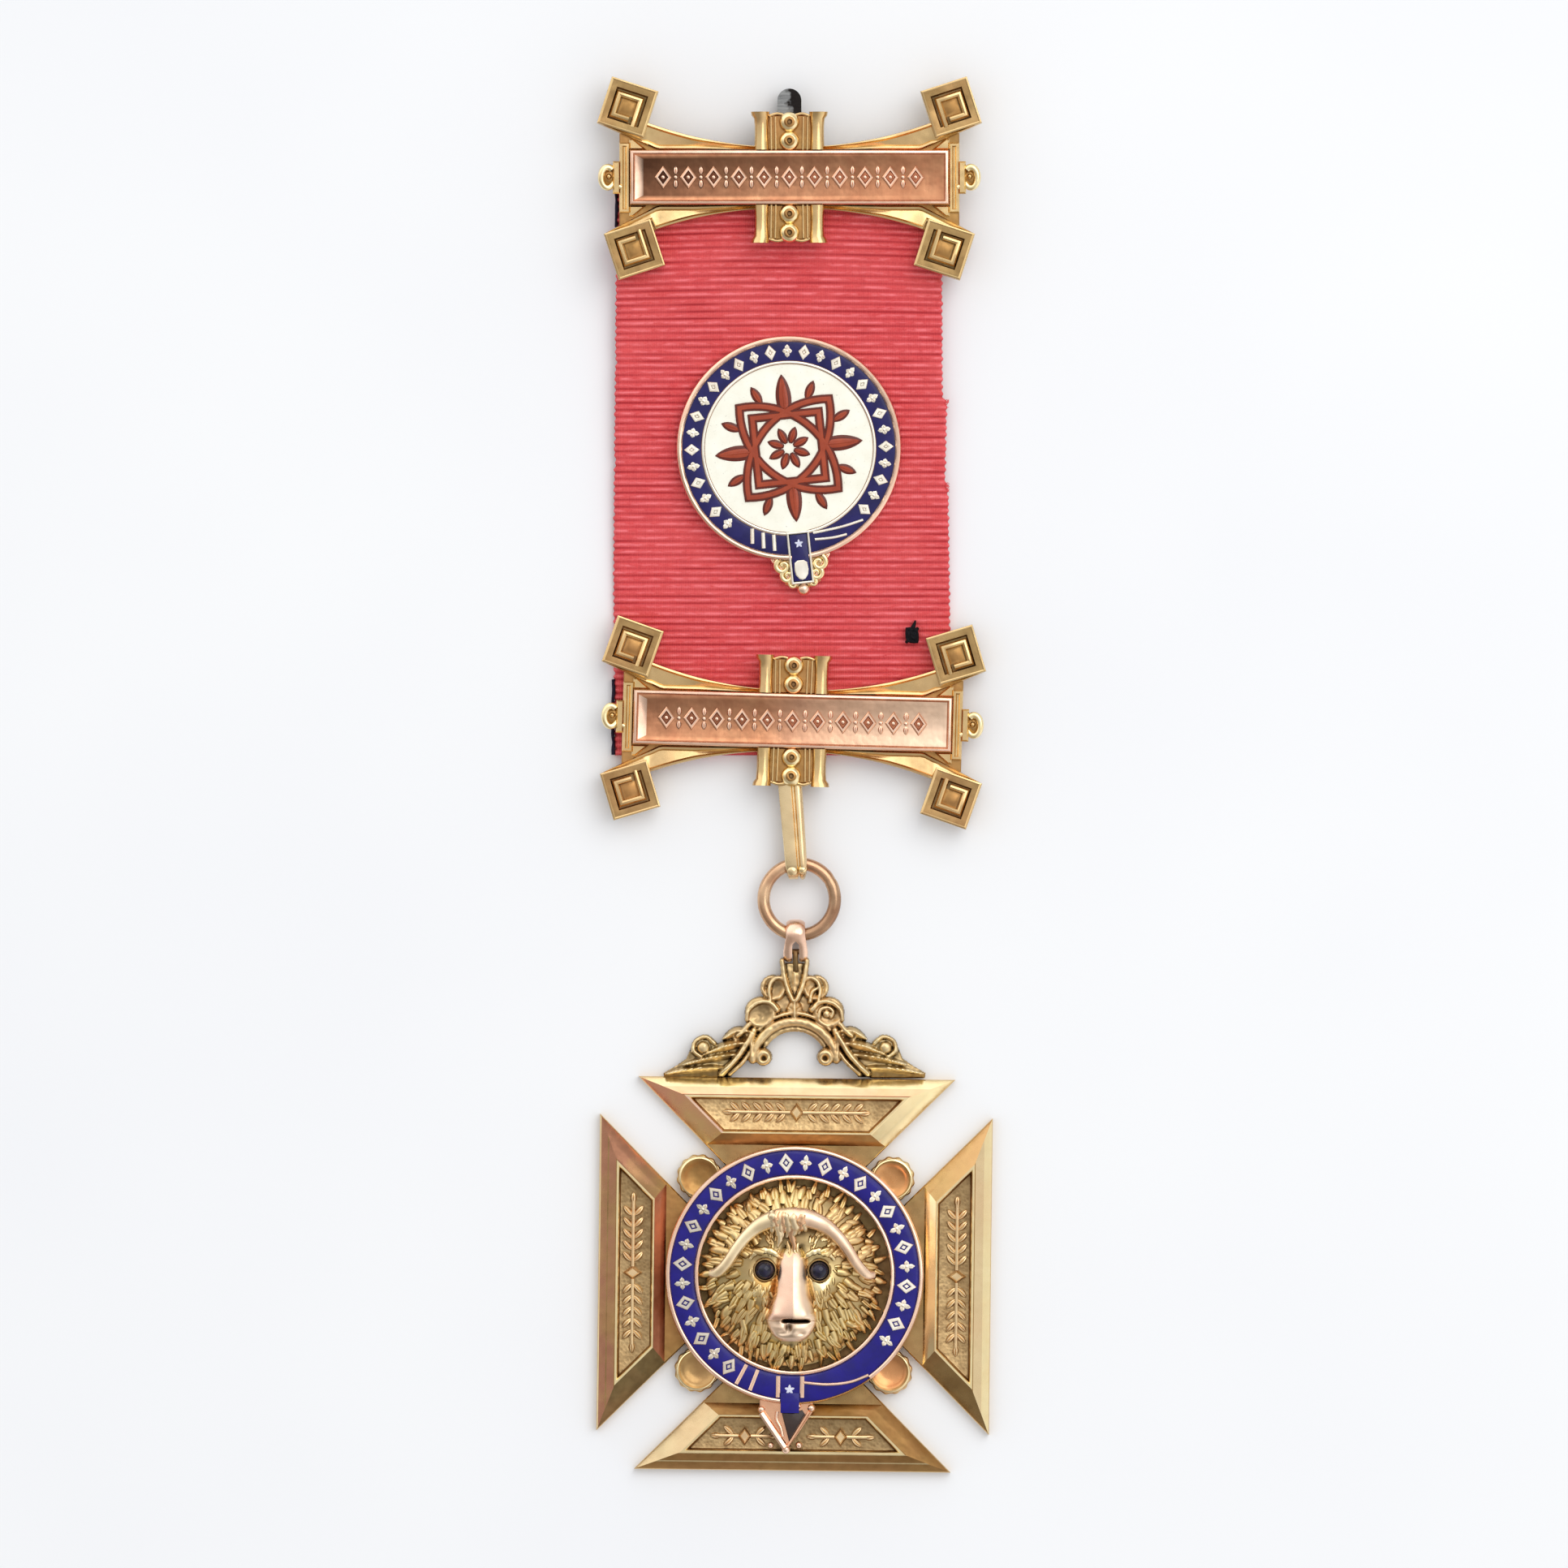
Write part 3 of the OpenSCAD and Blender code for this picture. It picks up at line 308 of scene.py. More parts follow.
def turned(points, degrees):
    """Turn points about the upright axis."""
    a = math.radians(degrees)
    out = np.array(points, float)
    x = out[:, 0].copy()
    y = out[:, 1].copy()
    out[:, 0] = math.cos(a) * x - math.sin(a) * y
    out[:, 1] = math.sin(a) * x + math.cos(a) * y
    return out


def spline(table, steps):
    """Points of a table made finer by a curve through its rows."""
    rows = np.array(table, float)
    last = len(rows) - 1
    out = []
    for i in range(last):
        a, b = rows[max(0, i - 1)], rows[i]
        c, d = rows[i + 1], rows[min(last, i + 2)]
        for s in range(steps):
            t = s / steps
            out.append(0.5 * (2 * b + (c - a) * t + (2 * a - 5 * b + 4 * c - d) * t * t
                              + (3 * b - a - 3 * c + d) * t ** 3))
    out.append(rows[last])
    return np.array(out)


def arc(x, y, radius, start, sweep, count=24):
    """Points of an arc in the plane."""
    angles = np.radians(np.linspace(start, start + sweep, count))
    return np.column_stack([x + radius * np.cos(angles), y + radius * np.sin(angles)])


def inset(outline, distance):
    """Move an anticlockwise outline inwards, with mitred corners."""
    p = np.array(outline, float)[:, :2]
    ahead = np.roll(p, -1, 0) - p
    ahead /= np.linalg.norm(ahead, axis=1)[:, None]
    side = np.column_stack([-ahead[:, 1], ahead[:, 0]])
    before = np.roll(side, 1, 0)
    scale = distance / (1 + (side * before).sum(1))
    return p + (side + before) * scale[:, None]


def box_outline(x0, x1, y0, y1):
    """Corners of an upright rectangle, anticlockwise."""
    return [(x0, y0), (x1, y0), (x1, y1), (x0, y1)]


def lozenge_outline(width, length):
    """Corners of a lozenge, anticlockwise."""
    return [(width / 2, 0), (0, length / 2), (-width / 2, 0), (0, -length / 2)]


# Shapes in the making

class Shape:
    """Points in millimetres and faces, with a finish for each face and, for each point, how much its colour
    is darkened: mostly painted shade, and below zero a painted highlight.
    """

    def __init__(self):
        self.points = []
        self.faces = []
        self.kinds = []
        self.shade_and_darkening = []

    def add(self, points, faces, kind, shade_and_darkening=0.0):
        """Take up points and faces; kind names one finish, or one for each face."""
        start = len(self.points)
        self.points.extend(np.asarray(points, float).tolist())
        self.faces.extend([[start + i for i in face] for face in faces])
        if isinstance(kind, str):
            kind = [kind] * len(faces)
        self.kinds.extend(kind)
        self.shade_and_darkening.extend(np.broadcast_to(shade_and_darkening, len(points)).tolist())

    def join(self, other, at=(0, 0, 0), turn=0.0, tilt=0.0, mirror=(1, 1)):
        """Copy another shape in: mirrored, turned, tilted about X and moved."""
        points = np.array(other.points, float)
        points[:, 0] *= mirror[0]
        points[:, 1] *= mirror[1]
        points = turned(points, turn)
        y = points[:, 1].copy()
        z = points[:, 2].copy()
        points[:, 1] = math.cos(tilt) * y - math.sin(tilt) * z
        points[:, 2] = math.sin(tilt) * y + math.cos(tilt) * z
        at = tuple(at) + (0,) * (3 - len(at))
        self.add(points + np.array(at), other.faces, list(other.kinds), other.shade_and_darkening)

    def placed(self, at, turn=0.0, tilt=0.0):
        """A copy of this shape, turned, tilted and moved."""
        copy = Shape()
        copy.join(self, at, turn, tilt)
        return copy


def drawn(draw, *values):
    """A new shape, drawn by one of the functions below."""
    shape = Shape()
    draw(shape, *values)
    return shape


def loft(shape, loops, kind, ring=False, shade_and_darkening=0.0):
    """Skin a row of closed loops; kind may name a finish for each band between two loops."""
    count = len(loops[0])
    bands = len(loops) if ring else len(loops) - 1
    names = [kind] * bands if isinstance(kind, str) else list(kind)
    faces = []
    kinds = []
    for k in range(bands):
        here = k * count
        there = (k + 1) % len(loops) * count
        for i in range(count):
            j = (i + 1) % count
            faces.append((here + i, here + j, there + j, there + i))
            kinds.append(names[k])
    if not ring:
        faces.append(tuple(range(count - 1, -1, -1)))
        kinds.append(names[0])
        faces.append(tuple((len(loops) - 1) * count + i for i in range(count)))
        kinds.append(names[-1])
    shape.add(np.concatenate([np.asarray(loop, float) for loop in loops]), faces, kinds, shade_and_darkening)


def plate(shape, outline, steps, kind):
    """A solid that rises from an outline in steps of (inset, height)."""
    loops = []
    for distance, z in steps:
        loops.append(lifted(inset(outline, distance), z))
    loft(shape, loops, kind)


def moulding(shape, path, section, kind, closed=False, base=0.0):
    """Draw a section of (across, height) points along a flat path with mitred corners."""
    p = np.array(path, float)[:, :2]
    steps = np.diff(np.vstack([p, p[:1]]) if closed else p, axis=0)
    steps /= np.linalg.norm(steps, axis=1)[:, None]
    side = np.column_stack([-steps[:, 1], steps[:, 0]])
    if closed:
        before = np.roll(side, 1, 0)
    else:
        before = np.vstack([side[:1], side])
        side = np.vstack([side, side[-1:]])
    mitre = (side + before) / (1 + (side * before).sum(1))[:, None]
    loops = []
    for point, across in zip(p, mitre):
        loops.append([(*(point + across * u), base + h) for u, h in section])
    loft(shape, loops, kind, ring=closed)


def wire(width, height, crown=0.6):
    """Section of a raised line with a rounded top."""
    w = width / 2
    return [(-w, 0), (-w, height * 0.45), (-w * crown, height * 0.9), (0, height),
            (w * crown, height * 0.9), (w, height * 0.45), (w, 0)]


def tube(shape, path, radii, kind, sides=12, flat=1.0, ring=False, shade_and_darkening=0.0):
    """A rod along a path; flat squeezes its height, and ring closes it."""
    p = np.array(path, float)
    radii = np.broadcast_to(radii, len(p))
    if ring:
        tangent = np.roll(p, -1, 0) - np.roll(p, 1, 0)
    else:
        tangent = np.gradient(p, axis=0)
    tangent /= np.linalg.norm(tangent, axis=1)[:, None]
    side = np.cross(tangent, (0, 0, 1))
    side /= np.linalg.norm(side, axis=1)[:, None]
    up = np.cross(side, tangent)
    angles = around(sides)
    loops = []
    for i in range(len(p)):
        loops.append(p[i] + radii[i] * (np.cos(angles)[:, None] * side[i]
                                        + np.sin(angles)[:, None] * up[i] * flat))
    loft(shape, loops, kind, ring=ring, shade_and_darkening=shade_and_darkening)


def knob(shape, at, profile, kind, sides=24):
    """A turned piece from a profile of (radius, height), on its own upright axis."""
    angles = around(sides)
    loops = [round_points(angles, radius, z) + np.array(at) for radius, z in profile]
    loft(shape, loops, kind)


def hoop(shape, section, kind, sides=160, start=0.0, sweep=360.0):
    """A ring, or a part of one, from a closed section of (radius, height) points."""
    whole = abs(sweep) >= 360
    angles = np.radians(np.linspace(start, start + sweep, sides, endpoint=not whole))
    loops = [[(r * math.cos(a), r * math.sin(a), z) for r, z in section] for a in angles]
    loft(shape, loops, kind, ring=whole)


def dome(radius, height):
    """Profile of a low round button, with a foot below its base."""
    angles = np.radians(np.linspace(0, 84, 8))
    return [(radius, -0.2)] + [(radius * math.cos(a), height * math.sin(a)) for a in angles]


def leaf(shape, spine, width, rise, kind):
    """A pointed leaf with a raised rib; the spine's heights are those of its edge."""
    spine = np.array(spine, float)
    tangent = np.gradient(spine, axis=0)
    tangent /= np.linalg.norm(tangent, axis=1)[:, None]
    side = np.cross(tangent, (0, 0, 1))
    section = [(-1, -0.25), (-1, 0.12), (-0.62, 0.62), (-0.2, 0.62), (0, 1.0), (0.2, 0.62),
               (0.62, 0.62), (1, 0.12), (1, -0.25)]
    loops = []
    for i, t in enumerate(np.linspace(0, 1, len(spine))):
        half = width / 2 * max(0.04, math.sin(math.pi * min(1, t * 0.92 + 0.08)) ** 0.7)
        high = rise * (0.35 + 0.65 * math.sin(math.pi * min(1, t * 0.9 + 0.1)) ** 0.5)
        loops.append([spine[i] + side[i] * half * u + np.array([0, 0, high * h])
                      for u, h in section])
    loft(shape, loops, kind)


def volute(shape, at, radius, wire_r, kind, turns=1.5, start=0.0, hand=1, rise=0.25):
    """A scroll that winds into its own eye."""
    t = np.linspace(0, 1, int(26 * turns))
    angles = math.radians(start) + hand * t * turns * 2 * math.pi
    reach = radius * (1 - t) ** 0.8 + wire_r * 0.35
    path = np.column_stack([at[0] + reach * np.cos(angles), at[1] + reach * np.sin(angles),
                            at[2] + rise * t])
    tube(shape, path, wire_r * (1 - 0.45 * t), kind, sides=12)


class Relief:
    """A cast surface: heights over a grid, raised by rods, leaves and bowls."""

    def __init__(self, low, high, step):
        xs = np.arange(low[0], high[0] + step / 2, step)
        ys = np.arange(low[1], high[1] + step / 2, step)
        self.step = step
        self.x, self.y = np.meshgrid(xs, ys)
        self.z = np.full(self.x.shape, -1.0)
        self.depth = np.full(self.x.shape, -9.0)
        self.patch_darkening = np.zeros(self.x.shape)

    def raise_to(self, height, depth, soft=0.08):
        """Join a height field on top with a small fillet; depth is how far inside it is."""
        h = np.clip(0.5 + 0.5 * (height - self.z) / soft, 0, 1)
        joined = self.z * (1 - h) + height * h + soft * h * (1 - h)
        self.z = np.where(depth > -self.step, np.maximum(joined, self.z), self.z)
        self.depth = np.maximum(self.depth, depth)

    def along(self, path):
        """How far each grid point is from a path, how far along it, and on which side."""
        p = np.array(path, float)[:, :2]
        spans = np.linalg.norm(np.diff(p, axis=0), axis=1)
        starts = np.concatenate([[0], np.cumsum(spans)])
        best = np.full(self.x.shape, 1e9)
        share = np.zeros(self.x.shape)
        side = np.zeros(self.x.shape)
        for k, (a, b) in enumerate(zip(p[:-1], p[1:])):
            d = b - a
            rx = self.x - a[0]
            ry = self.y - a[1]
            t = np.clip((rx * d[0] + ry * d[1]) / (spans[k] ** 2), 0, 1)
            gap = np.hypot(rx - t * d[0], ry - t * d[1])
            near = gap < best
            best = np.where(near, gap, best)
            share = np.where(near, (starts[k] + t * spans[k]) / starts[-1], share)
            side = np.where(near, np.sign(d[0] * ry - d[1] * rx), side)
        return best, share, side

    def ground(self, outline, top):
        """Raise the inside of an outline to a level."""
        p = np.array(outline, float)
        gap = self.along(np.vstack([p, p[:1]]))[0]
        inside = np.zeros(self.x.shape, bool)
        for (ax, ay), (bx, by) in zip(p, np.roll(p, -1, 0)):
            if ay == by:
                continue
            spans = (ay > self.y) != (by > self.y)
            inside ^= spans & (self.x < ax + (bx - ax) * (self.y - ay) / (by - ay))
        depth = np.where(inside, gap, -gap)
        self.raise_to(np.full(self.x.shape, top), depth, 0.02)

    def rod(self, path, radius, top, end_radius=None):
        """A round rod whose crest is at top; it may grow thinner towards its end."""
        gap, share, _ = self.along(path)
        r = radius + ((radius if end_radius is None else end_radius) - radius) * share
        body = np.sqrt(np.clip(1 - (gap / r) ** 2, 0, 1))
        self.raise_to(top - radius * 1.5 * (1 - body), r - gap)

    def leaf(self, path, width, base, rise, veins=0):
        """A leaf with a rib along its path and veins that lean towards its tip."""
        gap, share, _ = self.along(path)
        w = width / 2 * np.sin(np.pi * np.clip(share * 0.9 + 0.1, 0, 1)) ** 0.7 + 0.02
        u = np.clip(gap / w, 0, 1)
        body = 0.5 * np.sqrt(1 - u ** 2) + 0.3 * (1 - u) + 0.2 * bell(gap, 0, 0.12)
        if veins:
            wave = np.abs(np.sin(np.pi * (veins * share - 0.9 * u)))
            body -= 0.13 * (1 - wave) ** 2 * smooth(u, 0.1, 0.35)
        self.raise_to(base + rise * body, w - gap)

    def bowl(self, x, y, radius, top, sink, patch_darkening=0.0):
        """A round lobe with a raised edge and a dished middle, darkened as painted shade."""
        gap = np.hypot(self.x - x, self.y - y)
        u = gap / radius
        floor = top - sink * (1 - (u / 0.8) ** 2)
        rim = top + 0.03 - 1.6 * np.clip(u - 0.88, 0, 1)
        height = np.where(u < 0.8, np.minimum(floor, rim), rim)
        self.raise_to(height, radius - gap, 0.05)
        self.patch_darkening = np.maximum(self.patch_darkening, patch_darkening * (1 - smooth(u, 0.55, 0.85)))

    def ball(self, x, y, radius, top):
        """A round bead."""
        gap = np.hypot(self.x - x, self.y - y)
        body = np.sqrt(np.clip(1 - (gap / radius) ** 2, 0, 1))
        self.raise_to(top - radius * 0.9 * (1 - body), radius - gap)

    def blurred(self, passes):
        """Heights averaged over their neighbours inside the cast."""
        mask = (self.depth > 0).astype(float)
        z = self.z * mask
        for _ in range(passes):
            z = averaged(z)
            mask = averaged(mask)
        return z / np.maximum(mask, 1e-6)

    def drawn_to_edge(self):
        """Grid places, those next to the edge of the cast moved onto it."""
        grow_y, grow_x = np.gradient(self.depth, self.step)
        steep = np.maximum(np.hypot(grow_x, grow_y), 0.3)
        near = self.depth < 0.5 * self.step
        pull = np.where(near, np.clip(self.depth, -self.step, self.step) / steep ** 2, 0)
        return self.x - pull * grow_x, self.y - pull * grow_y

    def shading_and_darkening(self):
        """Painted shade in hollows, the darkened patches, and below zero a painted highlight on crests."""
        hollow = self.blurred(7) - self.z
        shade_and_darkening = np.where(hollow > 0, np.clip(hollow * 4.5, 0, 1), np.clip(hollow * 3, -0.9, 0))
        return np.where(shade_and_darkening < 0, shade_and_darkening, np.maximum(shade_and_darkening, self.patch_darkening))

    def mesh(self, shape, base, kind):
        """Cut the grid along the edge of the cast, round that edge and close it to its base."""
        rim = 0.25
        inside = self.depth > -0.4 * self.step
        px, py = self.drawn_to_edge()
        edge = np.clip(1 - self.depth / rim, 0, 1)
        z = self.z - rim * (1 - np.sqrt(1 - np.minimum(edge, 0.98) ** 2))
        cell = inside[:-1, :-1] & inside[:-1, 1:] & inside[1:, :-1] & inside[1:, 1:]
        rows, columns = np.nonzero(cell)
        width = self.x.shape[1]
        a = rows * width + columns
        faces = np.column_stack([a, a + 1, a + width + 1, a + width])
        used, index = np.unique(faces, return_inverse=True)
        faces = index.reshape(-1, 4)
        points = np.column_stack([px.ravel()[used], py.ravel()[used], z.ravel()[used]])
        count = len(points)
        edges = np.concatenate([faces[:, [i, (i + 1) % 4]] for i in range(4)])
        keys = edges.min(1) * count + edges.max(1)
        _, first, uses = np.unique(keys, return_index=True, return_counts=True)
        rims = edges[first[uses == 1]]
        foot = points.copy()
        foot[:, 2] = base
        skirts = np.column_stack([rims[:, 1], rims[:, 0], rims[:, 0] + count, rims[:, 1] + count])
        back = faces[:, ::-1] + count
        values = self.shading_and_darkening().ravel()[used]
        shape.add(np.vstack([points, foot]), faces.tolist() + skirts.tolist() + back.tolist(),
                  kind, np.concatenate([values, np.full(count, 0.2)]))


# Materials

def linear(red, green, blue):
    """A screen colour, 0 to 255, as light."""
    out = []
    for value in (red, green, blue):
        c = value / 255
        out.append(c / 12.92 if c <= 0.04045 else ((c + 0.055) / 1.055) ** 2.4)
    return (*out, 1.0)


def darker(colour, share):
    """A screen colour made darker, as light."""
    return linear(*[c * share for c in colour])


class Graph:
    """The nodes of a material or a world, and short ways to add to them."""

    def __init__(self, owner, space="Object"):
        if isinstance(owner, str):
            owner = bpy.data.materials.new(owner)
        owner.use_nodes = True
        self.owner = owner
        self.tree = owner.node_tree
        self.shader = self.tree.nodes.get("Principled BSDF")
        self.place = self.node("ShaderNodeTexCoord", {}).outputs[space]

    def set(self, **values):
        """Put plain numbers or links on the shader's sockets."""
        for key, value in values.items():
            self.join(self.shader.inputs[key.replace("_", " ")], value)

    def join(self, socket, value):
        """Link a socket to another one, or set it to a plain value."""
        if isinstance(value, bpy.types.NodeSocket):
            self.tree.links.new(value, socket)
        else:
            socket.default_value = value

    def node(self, kind, inputs, **settings):
        """Add a node with its inputs and settings."""
        made = self.tree.nodes.new(kind)
        for key, value in settings.items():
            setattr(made, key, value)
        for key, value in inputs.items():
            self.join(made.inputs[key], value)
        return made

    def noise(self, size, detail=3.0, rough=0.55, stretch=None):
        """Noise with features of a size in millimetres; stretch squeezes its axes."""
        place = self.place
        if stretch:
            place = self.node("ShaderNodeMapping", {"Vector": place, "Scale": stretch}).outputs[0]
        made = self.node("ShaderNodeTexNoise", {
            "Vector": place, "Scale": 1 / (size * MM), "Detail": detail, "Roughness": rough})
        return made.outputs["Fac"]

    def spread(self, value, low, high, start=0.3, end=0.7):
        """Map the middle of a noise to a range of numbers."""
        made = self.node("ShaderNodeMapRange", {
            "Value": value, "From Min": start, "From Max": end, "To Min": low, "To Max": high})
        return made.outputs["Result"]

    def combine(self, operation, a, b):
        """Join two numbers by an operation."""
        return self.node("ShaderNodeMath", {0: a, 1: b}, operation=operation).outputs[0]

    def blend(self, share, first, second):
        """Mix two colours by a share from 0 to 1."""
        return self.node("ShaderNodeMix", {0: share, 6: first, 7: second},
                         data_type="RGBA").outputs[2]

    def shade_and_darkening(self):
        """How much the mesh darkens each of its points, mostly as painted shade; below zero, on crests, it
        lightens them as a painted highlight.
        """
        return self.node("ShaderNodeAttribute", {}, attribute_name="shade_and_darkening").outputs["Fac"]

    def split(self):
        """Places along X, Y and Z."""
        return self.node("ShaderNodeSeparateXYZ", {"Vector": self.place}).outputs

    def bump(self, height, distance, normal=None):
        """Small relief whose depth is a distance in millimetres."""
        inputs = {"Height": height, "Distance": distance * MM, "Strength": 1.0}
        if normal is not None:
            inputs["Normal"] = normal
        return self.node("ShaderNodeBump", inputs).outputs["Normal"]


def gold(name, colour, dark, rough, grain=0.002, drift=0.3, blush=0.22, far=None):
    """Worn gold: tone and blush drift, darkening from each point's attribute (mostly painted shade in
    hollows), a painted highlight on crests, and scratches.

    A far colour takes over with distance from the middle of the cross.
    """
    g = Graph(name)
    wander = g.spread(g.noise(2.4, 2), 0.0, drift)
    tinted = g.blend(wander, linear(*colour), linear(*dark))
    speck = g.spread(g.noise(0.6, 2), 0.0, 0.16, 0.5, 0.75)
    tinted = g.blend(speck, tinted, linear(*dark))
    pink = g.blend(0.5, linear(*colour), linear(222, 140, 104))
    tinted = g.blend(g.spread(g.noise(6.5, 2), 0.0, blush, 0.42, 0.62), tinted, pink)
    if far:
        away = g.node("ShaderNodeVectorMath", {0: g.place, 1: (0, CROSS_AT[1] * MM, 0)},
                      operation="DISTANCE").outputs["Value"]
        ragged = g.combine("ADD", away, g.spread(g.noise(3.0, 2), -2.5 * MM, 2.5 * MM))
        tinted = g.blend(g.spread(ragged, 0.0, 1.0, 14.5 * MM, 21 * MM), tinted, linear(*far))
    # Points below zero are crests, painted paler as a highlight
    crest_highlight = g.spread(g.shade_and_darkening(), 1.0, 0.0, -1.0, 0.0)
    tinted = g.blend(crest_highlight, tinted, linear(255, 240, 196))
    g.set(Base_Color=g.blend(g.shade_and_darkening(), tinted, darker(dark, 0.42)), Metallic=1.0)
    g.set(Roughness=g.spread(g.noise(0.9, 2), rough * 0.75, rough * 1.35))
    waves = g.bump(g.noise(3.2, 1), 0.09)
    soft = g.bump(g.noise(0.9, 1), grain * 4, waves)
    scratch = g.noise(0.2, 2, 0.5, (1.0, 0.12, 1.0))
    g.set(Normal=g.bump(scratch, grain * 0.6, soft))
    return g.owner


def painted_glare(material, colour):
    """Fade a finish to a paler colour on the right of the lower bar: a painted reflection of glare there.
    """
    g = Graph(material)
    x, y, _ = g.split()
    right = g.spread(x, 0.0, 0.9, -3 * MM, 14 * MM)
    low = g.spread(y, 1.0, 0.0, 20 * MM, 40 * MM)
    base = g.shader.inputs["Base Color"].links[0].from_socket
    g.set(Base_Color=g.blend(g.combine("MULTIPLY", right, low), base, linear(*colour)))
    return material


def stippled(name, colour, dark):
    """Satin gold ground: soft punch marks with painted shade in them, brown patches, and darkening from
    each point's attribute.
    """
    g = Graph(name)
    cells = g.node("ShaderNodeTexVoronoi", {"Vector": g.place, "Scale": 1 / (0.34 * MM)})
    pits = cells.outputs["Distance"]
    shade = g.spread(pits, 0.5, 0.0, 0.05, 0.5)
    tone = g.blend(shade, linear(*colour), linear(*dark))
    patches = g.spread(g.noise(1.5, 3), 0.0, 0.6, 0.4, 0.68)
    tone = g.blend(patches, tone, linear(*dark))
    g.set(Base_Color=g.blend(g.shade_and_darkening(), tone, darker(dark, 0.5)), Metallic=0.95)
    g.set(Roughness=g.spread(g.noise(0.5, 3), 0.34, 0.55))
    g.set(Normal=g.bump(pits, 0.03, g.bump(g.noise(0.9, 2), 0.045)))
    return g.owner


def enamel(name, colour, second, rough=0.08):
    """Fired glass enamel: a gloss coat over colour that drifts, with pits and fine waves."""
    g = Graph(name)
    drift = g.spread(g.noise(1.6, 3), 0.0, 1.0)
    tone = g.blend(drift, linear(*colour), linear(*second))
    specks = g.spread(g.noise(0.22, 2), 0.0, 0.5, 0.66, 0.8)
    g.set(Base_Color=g.blend(specks, tone, darker(colour, 0.5)))
    g.set(Roughness=g.spread(g.noise(0.7, 3), 0.25, 0.45), Coat_Weight=0.3)
    g.set(Coat_Roughness=rough, Specular_IOR_Level=0.25, Coat_IOR=1.45)
    waves = g.bump(g.noise(1.3, 2), 0.035)
    g.set(Normal=g.bump(g.noise(0.2, 2), 0.003, waves))
    return g.owner


def ribbed_cloth(name):
    """Corded ribbon: rounded wefts whose grooves are darkened as painted shade and whose crests take paler
    streaks as a painted highlight, fine warp threads and faded patches.
    """
    g = Graph(name)
    groove = g.shade_and_darkening()
    warp = g.node("ShaderNodeTexWave", {
        "Vector": g.place, "Scale": 1 / (0.55 * MM), "Distortion": 1.5, "Detail": 2.0,
        "Detail Scale": 2.0}, wave_type="BANDS", bands_direction="X").outputs["Fac"]
    streak = g.spread(g.noise(0.28, 4, 0.6, (1.0, 0.12, 1.0)), 0.0, 0.55)
    tone = g.blend(streak, linear(226, 78, 82), linear(198, 56, 64))
    faded = g.spread(g.noise(7.0, 3), 0.0, 0.45)
    tone = g.blend(faded, tone, linear(228, 96, 95))
    fibre = g.spread(g.noise(0.1, 3), 0.0, 0.3, 0.45, 0.7)
    tone = g.blend(fibre, tone, linear(240, 122, 120))
    # The crests take paler streaks as a painted highlight; the grooves are darkened as painted shade
    crest = g.spread(groove, 1.0, 0.0, -1.0, 0.0)
    streaks = g.spread(g.noise(0.55, 3, 0.6, (0.3, 1.0, 1.0)), 0.0, 0.95, 0.42, 0.62)
    tone = g.blend(g.combine("MULTIPLY", crest, streaks), tone, linear(250, 128, 134))
    g.set(Base_Color=g.blend(groove, tone, linear(158, 22, 38)))
    g.set(Roughness=g.spread(g.noise(0.4, 3), 0.62, 0.8), Sheen_Weight=0.2)
    g.set(Sheen_Roughness=0.4, Sheen_Tint=linear(250, 150, 150), Specular_IOR_Level=0.2)
    threads = g.bump(warp, 0.03)
    g.set(Normal=g.bump(g.noise(0.09, 3), 0.02, threads))
    return g.owner


def thread_finish(name, colour):
    """Twisted sewing thread."""
    g = Graph(name)
    twist = g.noise(0.12, 3, 0.6, (1.0, 0.4, 1.0))
    g.set(Base_Color=g.blend(g.spread(twist, 0, 0.6), linear(*colour), linear(34, 34, 40)))
    g.set(Roughness=g.spread(g.noise(0.3, 2), 0.7, 0.9), Specular_IOR_Level=0.15)
    g.set(Normal=g.bump(twist, 0.05))
    return g.owner


def steel_finish(name):
    """Dull steel strip with drawn lines, painted black on the right of its tongue as the shade on that
    side.
    """
    g = Graph(name)
    lines = g.noise(0.2, 3, 0.6, (0.1, 1.0, 1.0))
    x, y, _ = g.split()
    ragged = g.combine("ADD", x, g.spread(g.noise(0.8, 2), -0.5 * MM, 0.5 * MM))
    tongue = g.spread(y, 0.0, 1.0, 61 * MM, 63 * MM)
    # Painted shade: the right of the tongue is black
    black = g.combine("MULTIPLY", tongue, g.spread(ragged, 0.0, 0.96, -0.75 * MM, -0.3 * MM))
    tone = g.blend(g.spread(lines, 0, 0.7), linear(150, 152, 152), linear(84, 84, 88))
    g.set(Base_Color=g.blend(black, tone, linear(26, 20, 18)), Metallic=1.0)
    g.set(Roughness=g.spread(g.noise(0.5, 3), 0.25, 0.42), Normal=g.bump(lines, 0.006))
    return g.owner


def glass_finish(name):
    """Near-black glass of the eyes."""
    g = Graph(name)
    cloud = g.spread(g.noise(0.5, 2), 0, 1)
    g.set(Base_Color=g.blend(cloud, linear(14, 14, 26), linear(34, 30, 58)))
    g.set(Roughness=g.spread(g.noise(0.3, 2), 0.12, 0.22), Specular_IOR_Level=0.3)
    g.set(Coat_Weight=0.25, Coat_Roughness=0.06, Normal=g.bump(g.noise(0.8, 2), 0.01))
    return g.owner


def make_materials():
    """Every finish by the name that shapes use for it."""
    field = gold("satin rose gold", (208, 152, 114), (172, 110, 80), 0.34, 0.01, 0.6)
    finishes = {
        "gold_panel": stippled("stippled gold", (211, 180, 131), (153, 120, 80)),
        "rose_field": painted_glare(field, (255, 224, 196)),
        "cloth": ribbed_cloth("ribbed ribbon"),
        "thread": thread_finish("black thread", (8, 8, 10)),
        "binding": thread_finish("dark edge threads", (36, 26, 48)),
        "steel": steel_finish("pin steel"),
        "eye": glass_finish("eye glass")}
    finishes.update({kind: gold(*row) for kind, row in GOLDS.items()})
    finishes.update({kind: enamel(*row) for kind, row in ENAMELS.items()})
    return finishes


